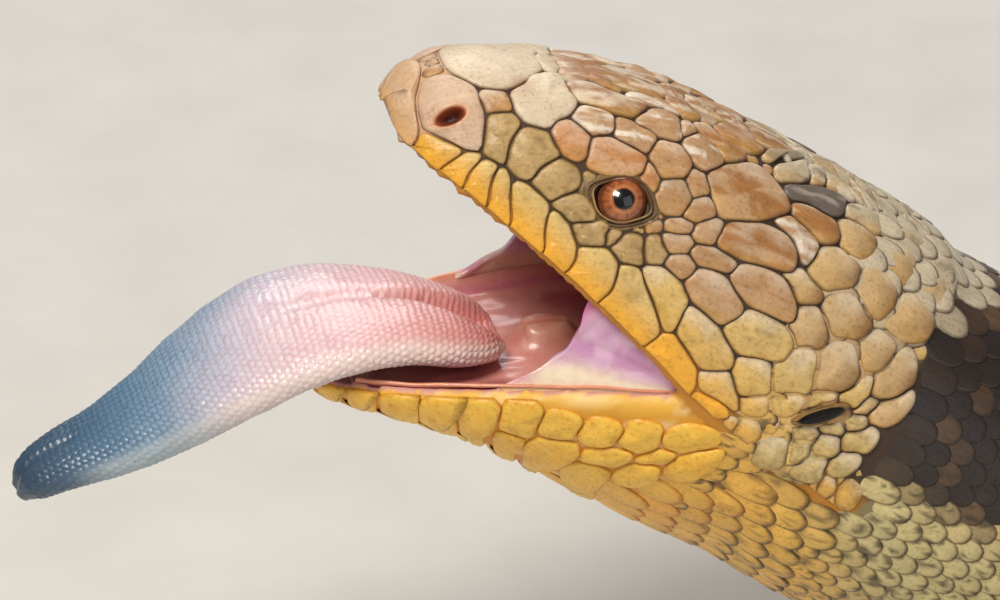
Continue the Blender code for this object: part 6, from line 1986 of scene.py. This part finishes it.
# Claws: curved, flattened from the sides, on every toe
claw = {"length": 2.8, "rings": 9, "around": 12, "wide": 0.62, "tall": 0.85, "high": 1.55, "arch": 0.35,
        "droop": 1.45, "forward": 0.15}
clawFinish = wetFinish("clawFinish", {"scale": 1500.0, "mottle": 0.6, "mottleHue": (0.35, 0.25, 0.18),
                                      "rough": (0.28, 0.42), "bump": 0.3, "coat": 0.3, "glow": 0.0})


def makeClaws():
    points, colour, faces = [], [], []
    around = claw["around"]
    turn = np.linspace(0, 2 * math.pi, around, endpoint=False)
    for leg in ("foreleg", "hindleg"):
        for side in (-1, 1):
            for start, way, length in toeWays(leg, side):
                across = np.cross(way, (0, 0, 1.0))
                base = len(points) * around
                for i, share in enumerate(np.linspace(-0.25, 1.0, claw["rings"])):
                    reach = length + claw["forward"] + claw["length"] * share * (1 - 0.06 * share)
                    centre = start + way * reach
                    centre[2] = claw["high"] + claw["arch"] * share - claw["droop"] * max(share, 0) ** 2
                    slim = max(1 - max(share, 0) ** 1.3, 0.06)
                    ring = np.outer(np.cos(turn) * claw["wide"] * slim, across) \
                        + np.outer(np.sin(turn) * claw["tall"] * slim, (0, 0, 1.0))
                    points.append(centre + ring)
                    tone = mix(hue(92, 66, 44), hue(36, 26, 20), float(stepUp(0.0, 0.9, share)))
                    colour.append(np.tile(tone, (around, 1)))
                faces += [tuple(base + v for v in face) for face in gridFaces(claw["rings"], around)]
                faces += [tuple(base + v for v in range(around)),
                          tuple(base + (claw["rings"] - 1) * around + v for v in range(around))]
    obj = meshOf("claws", np.array(points).reshape(-1, 3), faces)
    faceOut(obj)
    paint(obj.data, np.array(colour))
    obj.data.materials.append(clawFinish)
    return obj


settle("claws", makeClaws())

# Floor and light
stageShape = {"side": 9.0, "colour": (0.66, 0.63, 0.58), "world": (0.78, 0.82, 0.88), "worldStrength": 0.24}
bpy.ops.mesh.primitive_plane_add(size=stageShape["side"], location=(0, 0, 0))
floor = bpy.context.object
floor.name = "floor"
floorFinish, tree, shader, node = nodeKit("floorFinish")
grit = node("TexNoise", Vector=node("TexCoord").outputs["Object"], Scale=60.0, Detail=5.0)
tone = node("MapRange", i0=grit.outputs["Fac"], i1=0.3, i2=0.7, i3=0.96, i4=1.04)
paint = node("VectorMath", i0=stageShape["colour"])
paint.operation = "SCALE"
tree.links.new(tone.outputs["Result"], paint.inputs["Scale"])
tree.links.new(paint.outputs["Vector"], shader.inputs["Base Color"])
shader.inputs["Roughness"].default_value = 0.85
floor.data.materials.append(floorFinish)


def addLight(name, place, aim, size, power, colour=(1, 1, 1)):
    light = bpy.data.lights.new(name, "AREA")
    light.size, light.energy, light.color = size, power, colour
    obj = bpy.data.objects.new(name, light)
    bpy.context.scene.collection.objects.link(obj)
    obj.location = place
    obj.rotation_euler = (Vector(aim) - Vector(place)).to_track_quat("-Z", "Y").to_euler()


addLight("key", (-0.42, -0.30, 0.70), (-0.13, 0, 0.06), 0.28, 5.0, (1.0, 0.95, 0.87))
addLight("fill", (0.30, -0.85, 0.40), (-0.05, 0, 0.05), 0.8, 1.7, (0.94, 0.96, 1.0))
addLight("back", (-0.05, 0.60, 0.65), (-0.10, 0, 0.05), 0.5, 3.2)
world = bpy.context.scene.world or bpy.data.worlds.new("world")
bpy.context.scene.world = world
world.use_nodes = True
world.node_tree.nodes["Background"].inputs["Color"].default_value = (*stageShape["world"], 1)
world.node_tree.nodes["Background"].inputs["Strength"].default_value = stageShape["worldStrength"]
bpy.context.scene.view_settings.view_transform = "Standard"

flesh = [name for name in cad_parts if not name.startswith(("eye", "tongue", "cheek"))]
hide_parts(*flesh)
